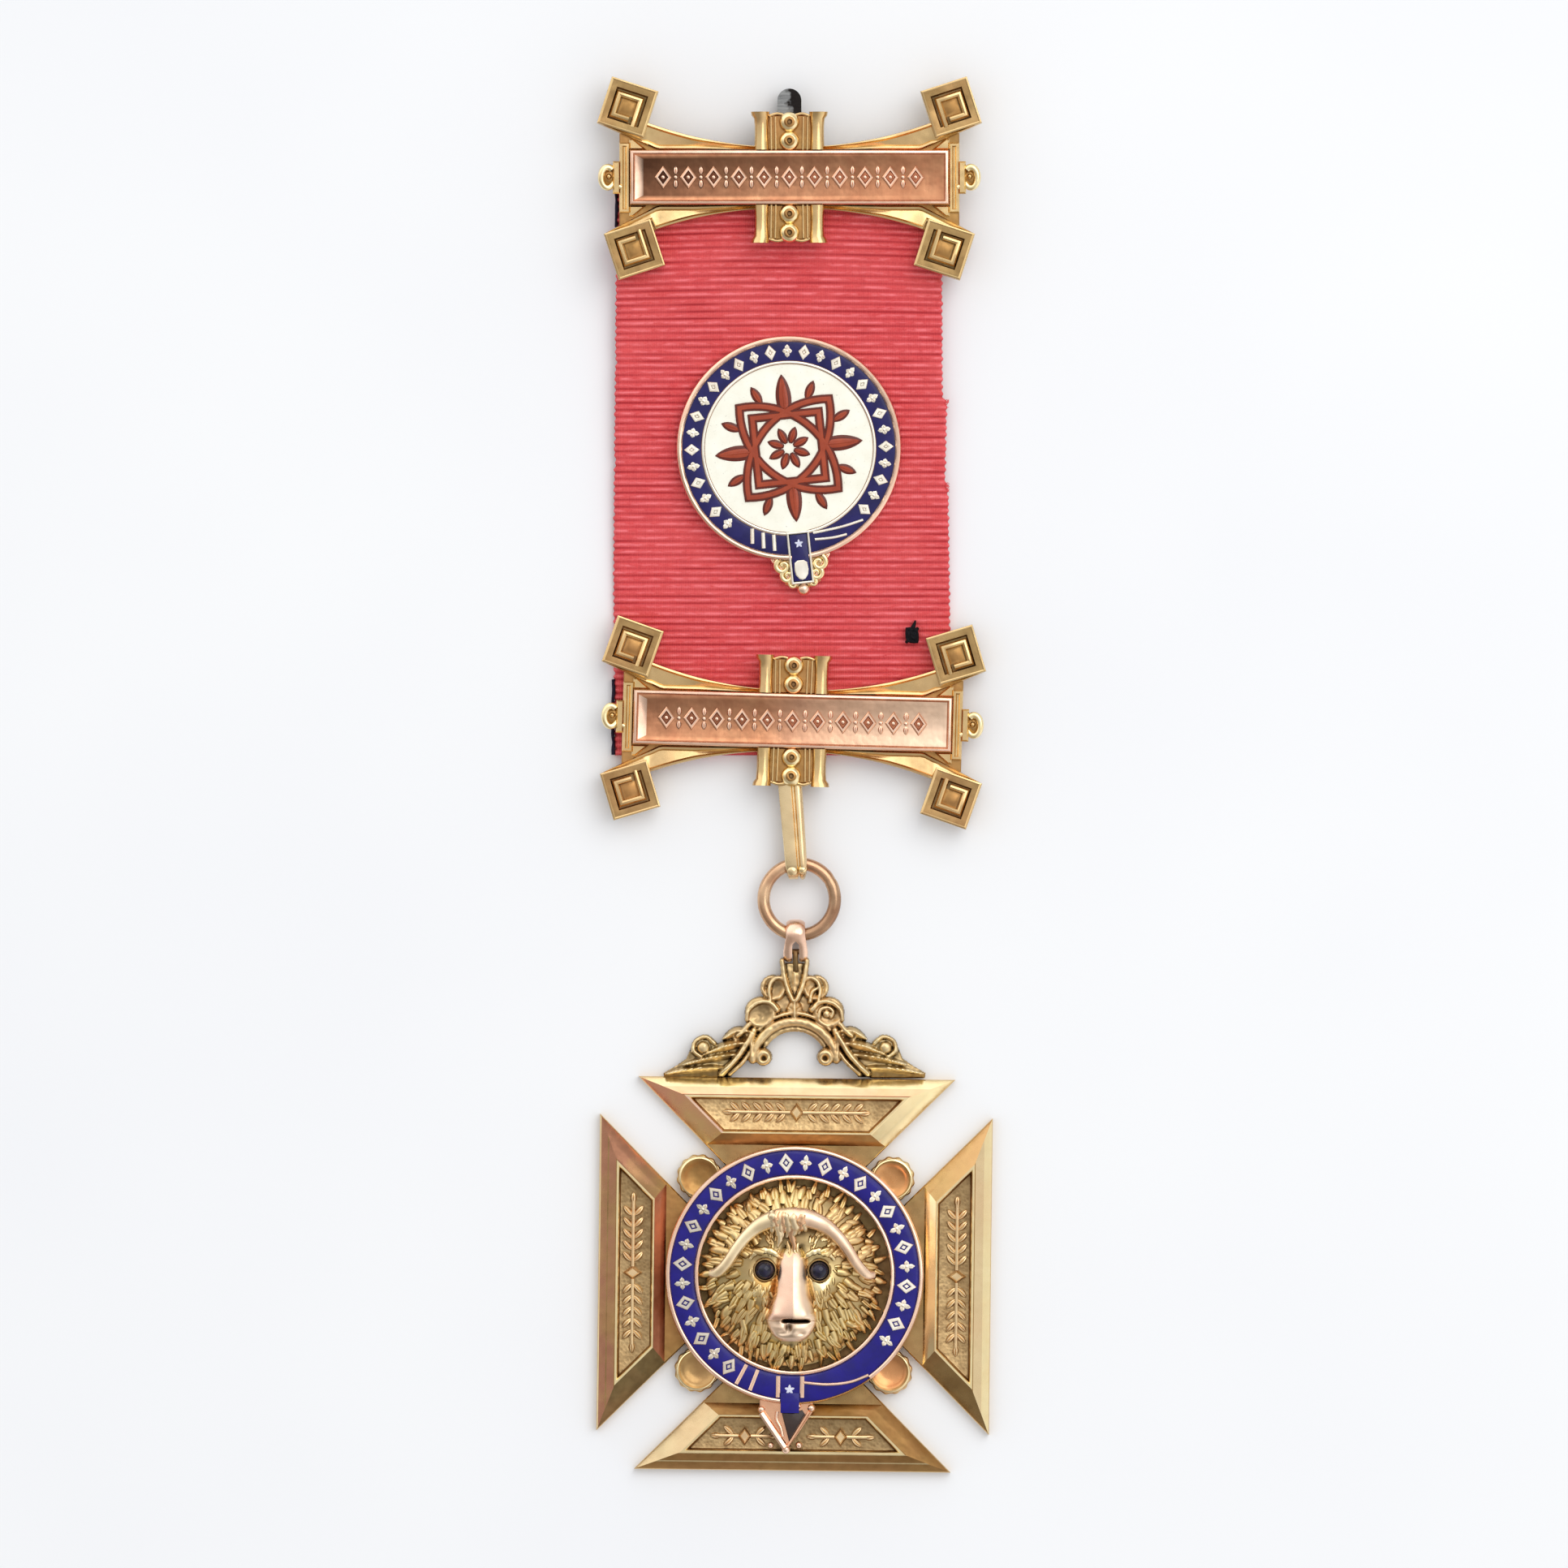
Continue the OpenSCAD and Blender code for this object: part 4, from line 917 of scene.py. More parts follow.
def make_piece(shape, name, slot, *nodes, crease=32.0):
    """Turn a shape into a Blender object that stands for its CAD nodes."""
    mesh = bpy.data.meshes.new(name)
    points = np.array(shape.points) * MM
    mesh.from_pydata(points.tolist(), [], shape.faces)
    kinds = sorted(set(shape.kinds))
    for kind in kinds:
        mesh.materials.append(FINISH[kind])
    mesh.polygons.foreach_set("material_index", [kinds.index(kind) for kind in shape.kinds])
    shade_and_darkening = mesh.attributes.new("shade_and_darkening", "FLOAT", "POINT")
    shade_and_darkening.data.foreach_set("value", shape.shade_and_darkening)
    work = bmesh.new()
    work.from_mesh(mesh)
    bmesh.ops.recalc_face_normals(work, faces=work.faces)
    work.to_mesh(mesh)
    work.free()
    mesh.shade_smooth()
    mesh.set_sharp_from_angle(angle=math.radians(crease))
    piece = bpy.data.objects.new(name, mesh)
    bpy.context.collection.objects.link(piece)
    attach(piece, "root")
    if nodes:
        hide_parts(*nodes)
    return piece


# Bars

def swept_edge(x):
    """Height above the bar's middle line of the curve that its arms follow."""
    return WAIST + SWEEP_R - math.sqrt(SWEEP_R ** 2 - x * x)


def bar_arm(shape, key):
    """One arm: a fine upper wire, a hollow face and a lower wire, ending under its key."""
    half = KEY_SIDE / 2
    left, right = turned([(-half, -half, 0), (half, -half, 0)], KEY_TURN) + np.array([*key, 0])
    foot = PLAQUE_H / 2 + 0.06
    tuck = 0.35
    loops = []
    for x in np.linspace(3.0, right[0] - 0.15, 40):
        share = (x - left[0]) / (right[0] - left[0])
        top = swept_edge(x)
        if share > -0.05:
            top = min(top, left[1] + share * (right[1] - left[1]) + tuck)
        low = max(foot, foot + (x - ARM_SPRING_X) / (right[0] - ARM_SPRING_X) * (right[1] - foot))
        width = max(top - low, 0.12)
        s = min(1.0, width / 1.3)
        section = [
            (0, 0.04), (0, ARM_T - 0.2), (0.06 * s, ARM_T), (0.24 * s, ARM_T + 0.04),
            (0.34 * s, ARM_T - 0.14), (0.42 * s, ARM_T - 0.32), (width - 0.5 * s, ARM_T - 0.42),
            (width - 0.36 * s, ARM_T - 0.16), (width - 0.16 * s, ARM_T - 0.1),
            (width, ARM_T - 0.3), (width, 0.04)]
        loops.append([(x, top - a, z) for a, z in section])
    loft(shape, loops, "gold")


def bar_key(shape, at):
    """A square key: a raised frame with a groove, and a hooked wire round its sunk middle."""
    part = Shape()
    half = KEY_SIDE / 2
    # The edge chamfer is painted bright as a highlight; the groove's slope and pit are painted dark as
    # shade
    plate(part, box_outline(-half, half, -half, half),
          [(0, 0.02), (0, KEY_T - 0.3), (0.07, KEY_T - 0.14), (0.3, KEY_T - 0.14),
           (0.78, KEY_T - 0.18), (0.92, KEY_T - 0.6), (1.6, KEY_T - 0.62), (1.9, KEY_T - 0.5)],
          ["gold", "gold_bright", "gold_key", "gold_key", "gold_deep", "gold_shade", "gold_deep"])
    lip = half - 0.15
    lip_wire = [(-0.15, -0.5), (-0.12, -0.06), (0.0, 0), (0.1, -0.08), (0.14, -0.5)]
    moulding(part, box_outline(-lip, lip, -lip, lip), lip_wire, "gold", True, KEY_T)
    hook = [(-0.45, -1.06), (1.12, -1.06), (1.12, 0.98), (-0.98, 0.98), (-0.98, -1.68)]
    hook_wire = [(-0.32, -0.9), (-0.3, -0.24), (-0.16, -0.06), (0.02, 0), (0.16, -0.08),
                 (0.26, -0.26), (0.28, -0.9)]
    moulding(part, hook, hook_wire, "gold", False, KEY_T)
    shape.join(part, at, KEY_TURN)


def bar_pillar(shape):
    """Half of the pillar: two flared pilasters with ribs and a lip, and two slit beads."""
    low = PLAQUE_H / 2 + 0.05
    top = PILLAR_TOP
    # The ground between the pilasters is painted dark as shade
    plate(shape, box_outline(-3.3, 3.3, low, top - 0.35),
          [(0, 0.06), (0, PILLAR_T - 0.1), (0.08, PILLAR_T)], ["gold", "gold_deep"])
    ys = np.array([low, low + 0.5, low + 1.4, low + 2.3, top - 0.6, top - 0.22, top - 0.02])
    radii = PILASTER_R * np.array([1.04, 1.0, 0.95, 0.97, 1.06, 1.28, 1.36])
    for side in (-1, 1):
        path = [(side * (2.67 + 0.1 * (y > top - 0.5)), y, PILLAR_T) for y in ys]
        tube(shape, path, radii, "gold", 20)
        for x in (1.3, 1.72):
            rib = [(side * x, low), (side * (x + 0.05), top - 0.5)]
            moulding(shape, rib, wire(0.24, 0.34), "gold", base=PILLAR_T - 0.02)
        lip = [(side * 1.95, top - 0.42), (side * 1.2, top - 0.2), (side * 0.5, top - 0.34)]
        moulding(shape, spline(lip, 5), wire(0.34, 0.5), "gold", base=PILLAR_T - 0.25)
    for y, slit_start in ((3.5, 110), (5.3, 80)):
        slit_bead(shape, y, slit_start)


def slit_bead(shape, y, slit_start):
    """A bead of the pillar, painted bright as a highlight, with a brown eye and a dark curved slit, both
    painted shade.
    """
    profile = [(0.8, -0.2), (0.93, 0.0), (0.97, 0.2), (0.92, 0.44), (0.77, 0.66), (0.52, 0.83),
               (0.29, 0.88), (0.14, 0.72)]
    knob(shape, (0, y, PILLAR_T), profile,
         ["gold_bright"] * 5 + ["gold_deep", "gold_shade"], 32)
    slit = lifted(arc(0.0, y, 0.34, slit_start, 165, 12), PILLAR_T + 0.8)
    tube(shape, slit, 0.15 * np.sin(np.linspace(0.3, 2.9, 12)) + 0.02, "gold_deep", 8)


def bar_end(shape):
    """End column with its folds, the finial's block and its scroll, on the right of a bar."""
    inner = PLAQUE_W / 2 + 0.06
    outer = PLATE_W / 2
    plate(shape, box_outline(inner, outer, -3.35, 3.35),
          [(0, 0.4), (0, PLATE_T + 0.32), (0.1, PLATE_T + 0.45), (0.3, PLATE_T + 0.45),
           (0.42, PLATE_T + 0.3)], "gold")
    for side in (-1, 1):
        fold = [(inner - 1.6, side * 2.68), (inner + 0.05, side * 2.68),
                (inner + 0.05, side * 3.7), (inner - 0.3, side * 3.75)]
        plate(shape, fold[::side], [(0, 0.4), (0, PLATE_T + 0.2), (0.14, PLATE_T + 0.36)],
              "gold")
    plate(shape, box_outline(outer - 0.1, outer + 0.62, -1.55, 1.55),
          [(0, 0.3), (0, ARM_T + 0.12), (0.14, ARM_T + 0.28)], "gold")
    # The scroll is painted bright as a highlight, and its eye below dark as shade
    t = np.radians(np.linspace(-150, 128, 26))
    curl = np.column_stack([FINIAL_X + 0.02 + 0.62 * np.cos(t), 0.98 * np.sin(t),
                            1.45 + 0.1 * np.cos(t)])
    curl = np.vstack([[(FINIAL_X - 1.3, -0.95, 1.5), (FINIAL_X - 0.9, -0.8, 1.5)], curl])
    tube(shape, curl, np.linspace(0.26, 0.36, len(curl)), "gold_bright", 14)
    knob(shape, (FINIAL_X - 0.1, 0.1, 1.2), dome(0.3, 0.5), "gold", 14)
    eye = [(0.5, -0.6), (0.85, -0.3), (0.95, 0), (0.8, 0.32), (0.4, 0.5)]
    knob(shape, (FINIAL_X - 0.05, 0, 0.85), eye, "gold_deep", 24)


def bar(name, node, at, turn, lower_key):
    """A whole bar without its plaque, soldered from its parts."""
    whole = Shape()
    outline = [(x, min(swept_edge(x), PILLAR_TOP)) for x in np.linspace(16.3, -16.3, 60)]
    outline += [(x, -y) for x, y in outline[::-1]]
    # The plate's top, seen between the parts, is painted dark as shade
    plate(whole, outline, [(0, 0), (0, PLATE_T - 0.1), (0.1, PLATE_T)], ["gold", "gold_deep"])
    for side in (-1, 1):
        for end, key in ((1, KEY_UPPER), (-1, lower_key)):
            whole.join(drawn(bar_arm, key), mirror=(side, end))
            whole.join(drawn(bar_key, key), mirror=(side, end))
        whole.join(drawn(bar_end), mirror=(side, 1))
        whole.join(drawn(bar_pillar), mirror=(1, side))
    return make_piece(whole.placed(at, turn), name, "yellow_gold", node)


def plaque_ornament(shape, floor):
    """Eleven lozenges in the sunk field, with a dot and two small leaves between each two."""
    lozenge = Shape()
    # The lozenges' raised bands, the dots and the small leaves are painted pale as a highlight; the
    # lozenges' outer edges and sunk middles dark as shade
    plate(lozenge, lozenge_outline(1.7, 2.3),
          [(0, floor - 0.05), (0.04, floor + 0.14), (0.14, floor + 0.22), (0.28, floor + 0.22),
           (0.36, floor + 0.08)], ["rose_deep", "rose", "rose_pale", "rose_deep"])
    knob(lozenge, (0, 0, floor), dome(0.24, 0.24), "rose_pale", 12)
    for i in range(LOZENGE_COUNT):
        x = (i - (LOZENGE_COUNT - 1) / 2) * LOZENGE_STEP
        shape.join(lozenge, (x, 0, 0))
        if i == LOZENGE_COUNT - 1:
            return
        middle = x + LOZENGE_STEP / 2
        knob(shape, (middle, 0, floor), dome(0.22, 0.2), "rose_pale", 14)
        for side in (-1, 1):
            spine = [(middle, side * (0.28 + 0.1 * k), floor + 0.02) for k in range(9)]
            leaf(shape, spine, 0.5, 0.2, "rose_pale")


def plaque(name, node, at, turn, shade):
    """Rose gold plaque: rim line, sloping frame and ornament in a sunk field, painted dark on its left as
    shade.
    """
    whole = Shape()
    w = PLAQUE_W / 2
    h = PLAQUE_H / 2
    base = PLATE_T + 0.05
    top = base + PLAQUE_T
    floor = top - 0.34
    # The rim's top is painted pale as a highlight, the drop inside it dark as shade
    plate(whole, box_outline(-w, w, -h, h),
          [(0, base), (0, top - 0.14), (0.07, top - 0.03), (0.14, top), (0.28, top),
           (0.36, top - 0.1), (0.46, top - 0.12), (0.86, floor)],
          ["rose", "rose", "rose_pale", "rose_pale", "rose", "rose_deep", "rose_field"])
    for i, (x, y, z) in enumerate(whole.points):
        if z <= floor + 1e-6 and abs(y) < h - 0.5:
            whole.points[i] = [x - 0.12 if x > 0 else x + 0.4, y, z]
    # The slope into the field is band 6, and the left one is the last of its four faces; it is painted pale
    # as a highlight
    whole.kinds[6 * 4 + 3] = "rose_pale"
    plaque_ornament(whole, floor)
    points = np.array(whole.points)
    # Painted shade: the field and its ornament darker towards the left
    dark = smooth(-points[:, 0], -6, 15) * (points[:, 2] < floor + 0.12) * shade
    whole.shade_and_darkening = np.maximum(whole.shade_and_darkening, dark).tolist()
    return make_piece(whole.placed(at, turn), name, "rose_gold", node)


# Ribbon

def ribbon_surface(y):
    """Height of the ribbon's underside at a place along it."""
    places, heights = zip(RIBBON_END, SLOPE_END, SLOPE_TOP, RIBBON_TOP)
    return np.interp(y, places, heights)


def ribbon_edges(y):
    """Left and right edge of the ribbon, with its uneven selvedge and the step on the right."""
    left = np.interp(y, [1.9, 20, 30, 40, 56.4], [-17.3, -17.38, -17.3, -17.2, -17.05])
    left = left + 0.12 * bell(y, 39.8, 0.4) + 0.15 * bell(y, 30, 0.35)
    right = np.interp(y, [1.9, 16, 27.4, 28.2, 35.9, 36.3, 56.4],
                      [15.0, 14.9, 14.75, 14.45, 14.62, 14.2, 14.1])
    wave = 0.07 * np.sin(2 * np.pi * y / RIB_PITCH) + 0.05 * np.sin(y * 1.7) * np.sin(y * 5.3)
    return left - wave, right + wave


def rib_drift(u, phase):
    """How far each rib wanders and how strong its groove is, blended between nine places."""
    count = int(RIBBON_LENGTH / RIB_PITCH) + 3
    wander = np.cumsum(RNG.normal(0, 0.012, (count, 9)), axis=1)
    strength = 0.2 + 0.8 * RNG.random((count, 9)) ** 0.8
    rib = np.clip(np.round(phase).astype(int), 0, count - 1)
    knots = np.linspace(0, 1, 9)
    shift = np.zeros(u.shape)
    weight = np.zeros(u.shape)
    for k in range(8):
        inside = (u >= knots[k]) & (u <= knots[k + 1] + 1e-9)
        t = smooth(u, knots[k], knots[k + 1])
        shift = np.where(inside, wander[rib, k] * (1 - t) + wander[rib, k + 1] * t, shift)
        weight = np.where(inside, strength[rib, k] * (1 - t) + strength[rib, k + 1] * t, weight)
    return shift, weight


def ribbon_top(x, u, v, edge, groove, cord):
    """Height of the ribbon's face: ribs, soft swells, creases from its edges and a thin edge."""
    swell_wave = 0.05 * np.sin(x * 0.35 + v * 0.08) + 0.04 * np.sin(v * 0.31 + x * 0.13)
    top = ribbon_surface(v) + RIBBON_T - 0.2 - 0.07 * groove + 0.1 * cord
    top = top + swell_wave * smooth(edge, 0, 3)
    for crease_y, from_left in ((39.8, True), (30.0, True), (27.4, False)):
        fade = np.exp(-edge / 1.6) * ((u < 0.5) == from_left)
        top = top - 0.22 * bell(v, crease_y, 0.22) * fade
    return top - 0.42 * np.exp(-edge / 0.18)


def cloth_faces(rows, columns):
    """Faces of a front grid, of a back grid behind it and of the edge that joins them."""
    size = rows * columns
    index = np.arange(size).reshape(rows, columns)
    a, b = index[:-1, :-1].ravel(), index[:-1, 1:].ravel()
    c, d = index[1:, 1:].ravel(), index[1:, :-1].ravel()
    loop = np.concatenate([index[0], index[1:, -1], index[-1, -2::-1], index[-2:0:-1, 0]])
    following = np.roll(loop, -1)
    faces = [np.column_stack([a, b, c, d]), np.column_stack([d, c, b, a]) + size,
             np.column_stack([loop, loop + size, following + size, following])]
    return np.vstack(faces).tolist()


def ribbon():
    """The corded ribbon as one closed cloth, with real ribs across it."""
    rows = int(RIBBON_LENGTH / RIB_PITCH * 6) + 1
    columns = 73
    y = np.linspace(RIBBON_END[0], RIBBON_TOP[0], rows)
    left, right = ribbon_edges(y)
    width = (right - left)[:, None]
    across = np.linspace(0, 1, columns)
    across = 0.5 - 0.5 * np.cos(np.pi * across) * (1 - 0.25 * np.sin(np.pi * across) ** 2)
    u, v = np.meshgrid(across, y)
    x = left[:, None] + width * u
    phase = (v - RIBBON_END[0]) / RIB_PITCH
    shift, weight = rib_drift(u, phase)
    off = np.abs(phase + shift - np.round(phase + shift))
    groove = bell(off, 0, 0.16) * weight
    cord = np.sin(np.pi * np.clip(off, 0, 0.5))
    top = ribbon_top(x, u, v, np.minimum(u, 1 - u) * width, groove, cord)
    under = np.minimum(ribbon_surface(v) + 0.02, top - 0.2)
    bow = 0.42 * np.sin(np.pi * u) * smooth(v, 38, 52) * smooth(RIBBON_TOP[0] - v, 0, 2.5)
    flat = np.column_stack([x.ravel(), (v + bow).ravel()])
    points = np.vstack([lifted(flat, top.ravel()), lifted(flat, under.ravel())])
    # Painted shade darkens the grooves; below zero, the crests are painted paler as a highlight
    shade_and_darkening = np.where(off < 0.25, np.clip(groove * 0.8, 0, 1), -smooth(off, 0.25, 0.45)).ravel()
    cloth = Shape()
    cloth.add(points, cloth_faces(rows, columns), "cloth",
              np.concatenate([shade_and_darkening, np.maximum(0, 0.3 * shade_and_darkening)]))
    piece = make_piece(cloth, "ribbon_cloth", "ribbon", "ribbon", crease=70)


def thread_knot():
    """The black repair knot near the lower right key, with its tail."""
    knot = Shape()
    base = float(ribbon_surface(13.4)) + RIBBON_T
    centre = np.array([11.28, 13.42, base])
    for k in range(24):
        a = RNG.random(3) * 2 * math.pi
        t = around(16)
        wide = 0.12 + 0.48 * RNG.random()
        loop = np.column_stack([wide * np.cos(t + a[0]), 1.25 * wide * np.sin(t + a[1]),
                                0.12 + 0.16 * np.sin(2 * t + a[2]) + 0.014 * k])
        tube(knot, centre + loop, 0.15, "thread", 8, ring=True)
    tail = spline([(11.3, 13.9, 0.3), (11.42, 14.3, 0.2), (11.55, 14.6, 0.1),
                   (11.6, 14.85, 0.05)], 5)
    tail[:, 2] += base - 0.02
    tube(knot, tail, np.linspace(0.26, 0.07, len(tail)), "thread", 8)
    make_piece(knot, "ribbon_thread", "ribbon", crease=80)


def edge_threads():
    """Dark threads along the left edge, laid where that edge lies in shade so that they paint its shade
    too, and frayed ends at the two steps of the right one.
    """
    edge = Shape()
    for x, y0, y1 in ((-17.42, 1.95, 9.2), (-17.1, 52.6, 56.3)):
        y = np.linspace(y0, y1, 30)
        z = ribbon_surface(y) + 0.55
        for k in range(3):
            path = np.column_stack([x + 0.05 * np.sin(y * 2.3 + k), y, z + 0.22 * (k - 1)])
            tube(edge, path, 0.13 + 0.03 * np.sin(y * 3 + k), "binding", 8)
    for k in range(16):
        start, y = (14.45, 35.9 - 0.05 * k) if k < 8 else (14.5, 28.3 - 0.05 * k)
        z = float(ribbon_surface(y)) + 0.62
        stray = RNG.normal(0, 0.12, 2)
        path = spline([(start, y, z), (start + 0.18, y + stray[0], z + 0.05),
                       (start + 0.36, y + 2 * stray[1], z - 0.1)], 4)
        tube(edge, path, np.linspace(0.05, 0.02, len(path)), "cloth", 6)
    make_piece(edge, "ribbon_edges", "ribbon", crease=80)


# Parts shared by the badge's ring and the garter

def enamel_ring(shape, inner, outer, low, top, drop, bevel, kind):
    """A ring of enamel in its tray, with both edges a drop below its flat top."""
    hoop(shape, [(inner, low), (inner, top - drop), (inner + bevel, top), (outer - bevel, top),
                 (outer, top - drop), (outer, low)], kind)


def ring_stud(shape, index, width, length):
    """A lozenge frame on even places, a small four-lobed rosette on odd ones."""
    if index % 2 == 0:
        frame_line = inset(lozenge_outline(width, length), 0.15)
        moulding(shape, frame_line, wire(0.32, 0.12, 0.7), "stud", True)
        plate(shape, lozenge_outline(width * 0.28, length * 0.28), [(0, 0), (0.02, 0.08)], "stud")
        return
    for k in range(4):
        reach = (0.42 * width, 0.42 * length)[k % 2]
        leaf(shape, spoke(90 * k, 0.05, reach, 8), 0.46, 0.12, "stud")
    knob(shape, (0, 0, 0), dome(0.2, 0.15), "stud", 10)


def ring_of_studs(shape, radius, z, width, length, bare, darker_left=0.0):
    """Studs round an enamel ring, made darker towards the left; bare tells where none sit."""
    for i in range(STUD_COUNT):
        angle = -90 + (i + 0.5) * 360 / STUD_COUNT
        x, y = polar(radius, angle)
        if bare(x, y):
            continue
        part = drawn(ring_stud, i, width, length)
        part.shade_and_darkening = [darker_left * float(smooth(-x, -0.4 * radius, radius))] * len(part.points)
        shape.join(part, (x, y, z), angle - 90)


def star(shape, x, y, z, reach, width, rise):
    """A small white star of five leaves."""
    for k in range(5):
        leaf(shape, spoke(72 * k + 90, 0, reach, 6, z, (x, y)), width, rise, "dot")


# Badge

def at_badge(part, name, slot, node):
    """Lay a part of the badge on the sloping ribbon and make it a piece."""
    rise = (BADGE_AT[1] - SLOPE_END[0]) * math.tan(SLOPE)
    place = (*BADGE_AT, SLOPE_END[1] + rise + RIBBON_T + 0.05)
    return make_piece(part.placed(place, BADGE_TURN, SLOPE), name, slot, node)


def badge_bracket(shape):
    """Shell-like bracket under the badge, with leaves, a strap frame and a small ball."""
    foot = BRACKET_FOOT_Y
    plate(shape, [(-1.7, foot + 0.2), (-0.9, foot - 0.25), (0.9, foot - 0.25), (1.7, foot + 0.2),
                  (2.3, -10.2), (-2.3, -10.2)], [(0, 0.02), (0, 0.72), (0.16, 0.9)], "gold_cast")
    scrolls = ((1.75, -11.2, 0.62, 0.3, 60), (1.4, -12.2, 0.5, 0.26, 40),
               (0.95, -13.0, 0.34, 0.2, 80))
    for side in (-1, 1):
        for x, y, radius, wire_r, start in scrolls:
            begin = start if side > 0 else 180 - start
            volute(shape, (side * x, y, 1.0), radius, wire_r, "gold_bright", 1.15, begin,
                   -side, 0.06)
        for k in range(3):
            spine = [(side * (1.15 + 0.42 * k + 0.13 * t), -12.6 + 0.6 * k + 0.16 * t, 0.82)
                     for t in range(8)]
            leaf(shape, spine, 0.5, 0.34, "rose_pale")
    moulding(shape, box_outline(-0.98, 0.98, -12.95, -8.15), wire(0.28, 0.52), "stud", True, 1.12)
    shield = [(-0.62, -11.0), (-0.7, -11.7), (-0.62, -12.2), (-0.3, -12.62), (0, -12.72),
              (0.3, -12.62), (0.62, -12.2), (0.7, -11.7), (0.62, -11.0), (0.3, -10.78),
              (-0.3, -10.78)]
    plate(shape, shield, [(0, 1.0), (0.03, 1.56), (0.12, 1.64)], "stud")
    ball = [(0.3, -0.62), (0.56, -0.3), (0.64, 0), (0.56, 0.32), (0.36, 0.52), (0.12, 0.62)]
    knob(shape, (0.0, foot - 0.4, 0.75), ball, "rose_pale", 24)


def badge_rims():
    """Gold of the badge: tray, outer rim and inner line, studs, buckle marks and bracket."""
    mount = Shape()
    r = BADGE_R
    z = BADGE_RIM_Z
    inner = r - BADGE_RIM_W
    hoop(mount, [(inner, 0.5), (inner, z - 0.14), (inner + 0.12, z), (r - 0.3, z + 0.03),
                 (r - 0.1, z - 0.1), (r, z - 0.35), (r, 0)], "rose_pale")
    knob(mount, (0, 0, 0), [(r - 0.05, 0), (r - 0.05, 0.6)], "rose", 96)
    line = BADGE_DISC_R
    hoop(mount, [(line, 0.4), (line + 0.02, z - 0.14), (line + 0.12, z - 0.09),
                 (line + 0.24, z - 0.14), (line + 0.26, 0.4)], "stud")
    ring_of_studs(mount, (inner + line + 0.3) / 2, BADGE_ENAMEL_Z, 1.12, 1.5,
                  lambda x, y: y < -6.9 and x > -5.4)
    base = BADGE_ENAMEL_Z - 0.02
    for x, y0, y1 in ((-4.3, -7.3, -8.75), (-3.3, -7.8, -9.3), (-2.3, -8.1, -9.65)):
        moulding(mount, [(x, y0), (x * 1.03, y1)], wire(0.36, 0.16), "stud", base=base)
    for reaches, turns in (((8.45, 8.7, 9.2, 9.9), (-80, -70, -60, -50)),
                           ((9.1, 9.35, 9.65, 9.95), (-80, -74, -68, -62))):
        bend = [polar(reach, turn) for reach, turn in zip(reaches, turns)]
        moulding(mount, spline(bend, 6), wire(0.24, 0.12), "stud", base=base)
    badge_bracket(mount)
    at_badge(mount, "badge_rims", "rose_gold", "badge_mount")


def badge_enamels():
    """Navy ring with its strap and star, white disc and red device."""
    blue = Shape()
    low = 0.65
    crown = BADGE_ENAMEL_Z
    enamel_ring(blue, BADGE_DISC_R + 0.3, BADGE_R - BADGE_RIM_W - 0.03, low, crown, 0.05, 0.3,
                "navy")
    strap_top = 1.52
    plate(blue, box_outline(-0.84, 0.84, -12.8, -8.3), [(0, 0.95), (0.03, 1.48), (0.1, strap_top)],
          "navy")
    star(blue, 0, -9.2, strap_top, 0.42, 0.22, 0.06)
    at_badge(blue, "badge_ring_enamel", "navy_enamel", "badge_garter_enamel")

    disc = Shape()
    edge = BADGE_DISC_R - 0.05
    profile = [(edge, low)]
    profile += [(q, crown - 0.06 + 0.07 * (1 - (q / BADGE_DISC_R) ** 6))
                for q in np.linspace(edge, 0.6, 9)]
    knob(disc, (0, 0, 0), profile, "white", 96)
    at_badge(disc, "badge_disc_enamel", "white_enamel", "badge_white_enamel")
    at_badge(badge_knot(), "badge_knot", "red_enamel", "badge_device")


def leaf_ring(length, width, turn):
    """Closed path of a pointed loop, along its middle line."""
    half = length / 2
    rise = width / 2
    radius = (half * half + rise * rise) / (2 * rise)
    span = math.degrees(math.asin(half / radius))
    upper = arc(0, rise - radius, radius, 90 - span, 2 * span, 22)[:-1]
    return turned(lifted(np.vstack([upper, -upper]), 0), turn)[:, :2]


def outlined_leaf(shape, degrees, z, dark, light):
    """A red leaf on a darker one, each by its near end, far end, count, width and rise."""
    for kind, (near, far, count, width, rise) in (("red_line", dark), ("red", light)):
        leaf(shape, spoke(degrees, near, far, count, z), width, rise, kind)


def badge_knot():
    """Two pointed loops that cross, a square, spurs and a rosette, each with a darker outline."""
    knot = Shape()
    top = BADGE_ENAMEL_Z + 0.02
    paths = [leaf_ring(12.2, 5.8, turn) for turn in (45, 135)]
    paths.append(np.array(box_outline(-3.2, 3.2, -3.2, 3.2), float))
    for path in paths:
        moulding(knot, path, wire(0.84, 0.14, 0.8), "red_line", True, top)
        moulding(knot, path, wire(0.5, 0.2, 0.75), "red", True, top)
    for turn in range(0, 360, 90):
        for off in (26, 64):
            outlined_leaf(knot, turn + off, top, (5.0, 6.9, 8, 0.9, 0.12),
                          (5.15, 6.7, 8, 0.6, 0.17))
        outlined_leaf(knot, turn, top, (2.95, 7.1, 12, 1.5, 0.14), (2.95, 6.9, 12, 1.05, 0.22))
    for turn in range(0, 360, 45):
        outlined_leaf(knot, turn + 22.5, top, (0.5, 2.15, 9, 0.86, 0.13),
                      (0.62, 2.0, 9, 0.56, 0.18))
    return knot


# Links

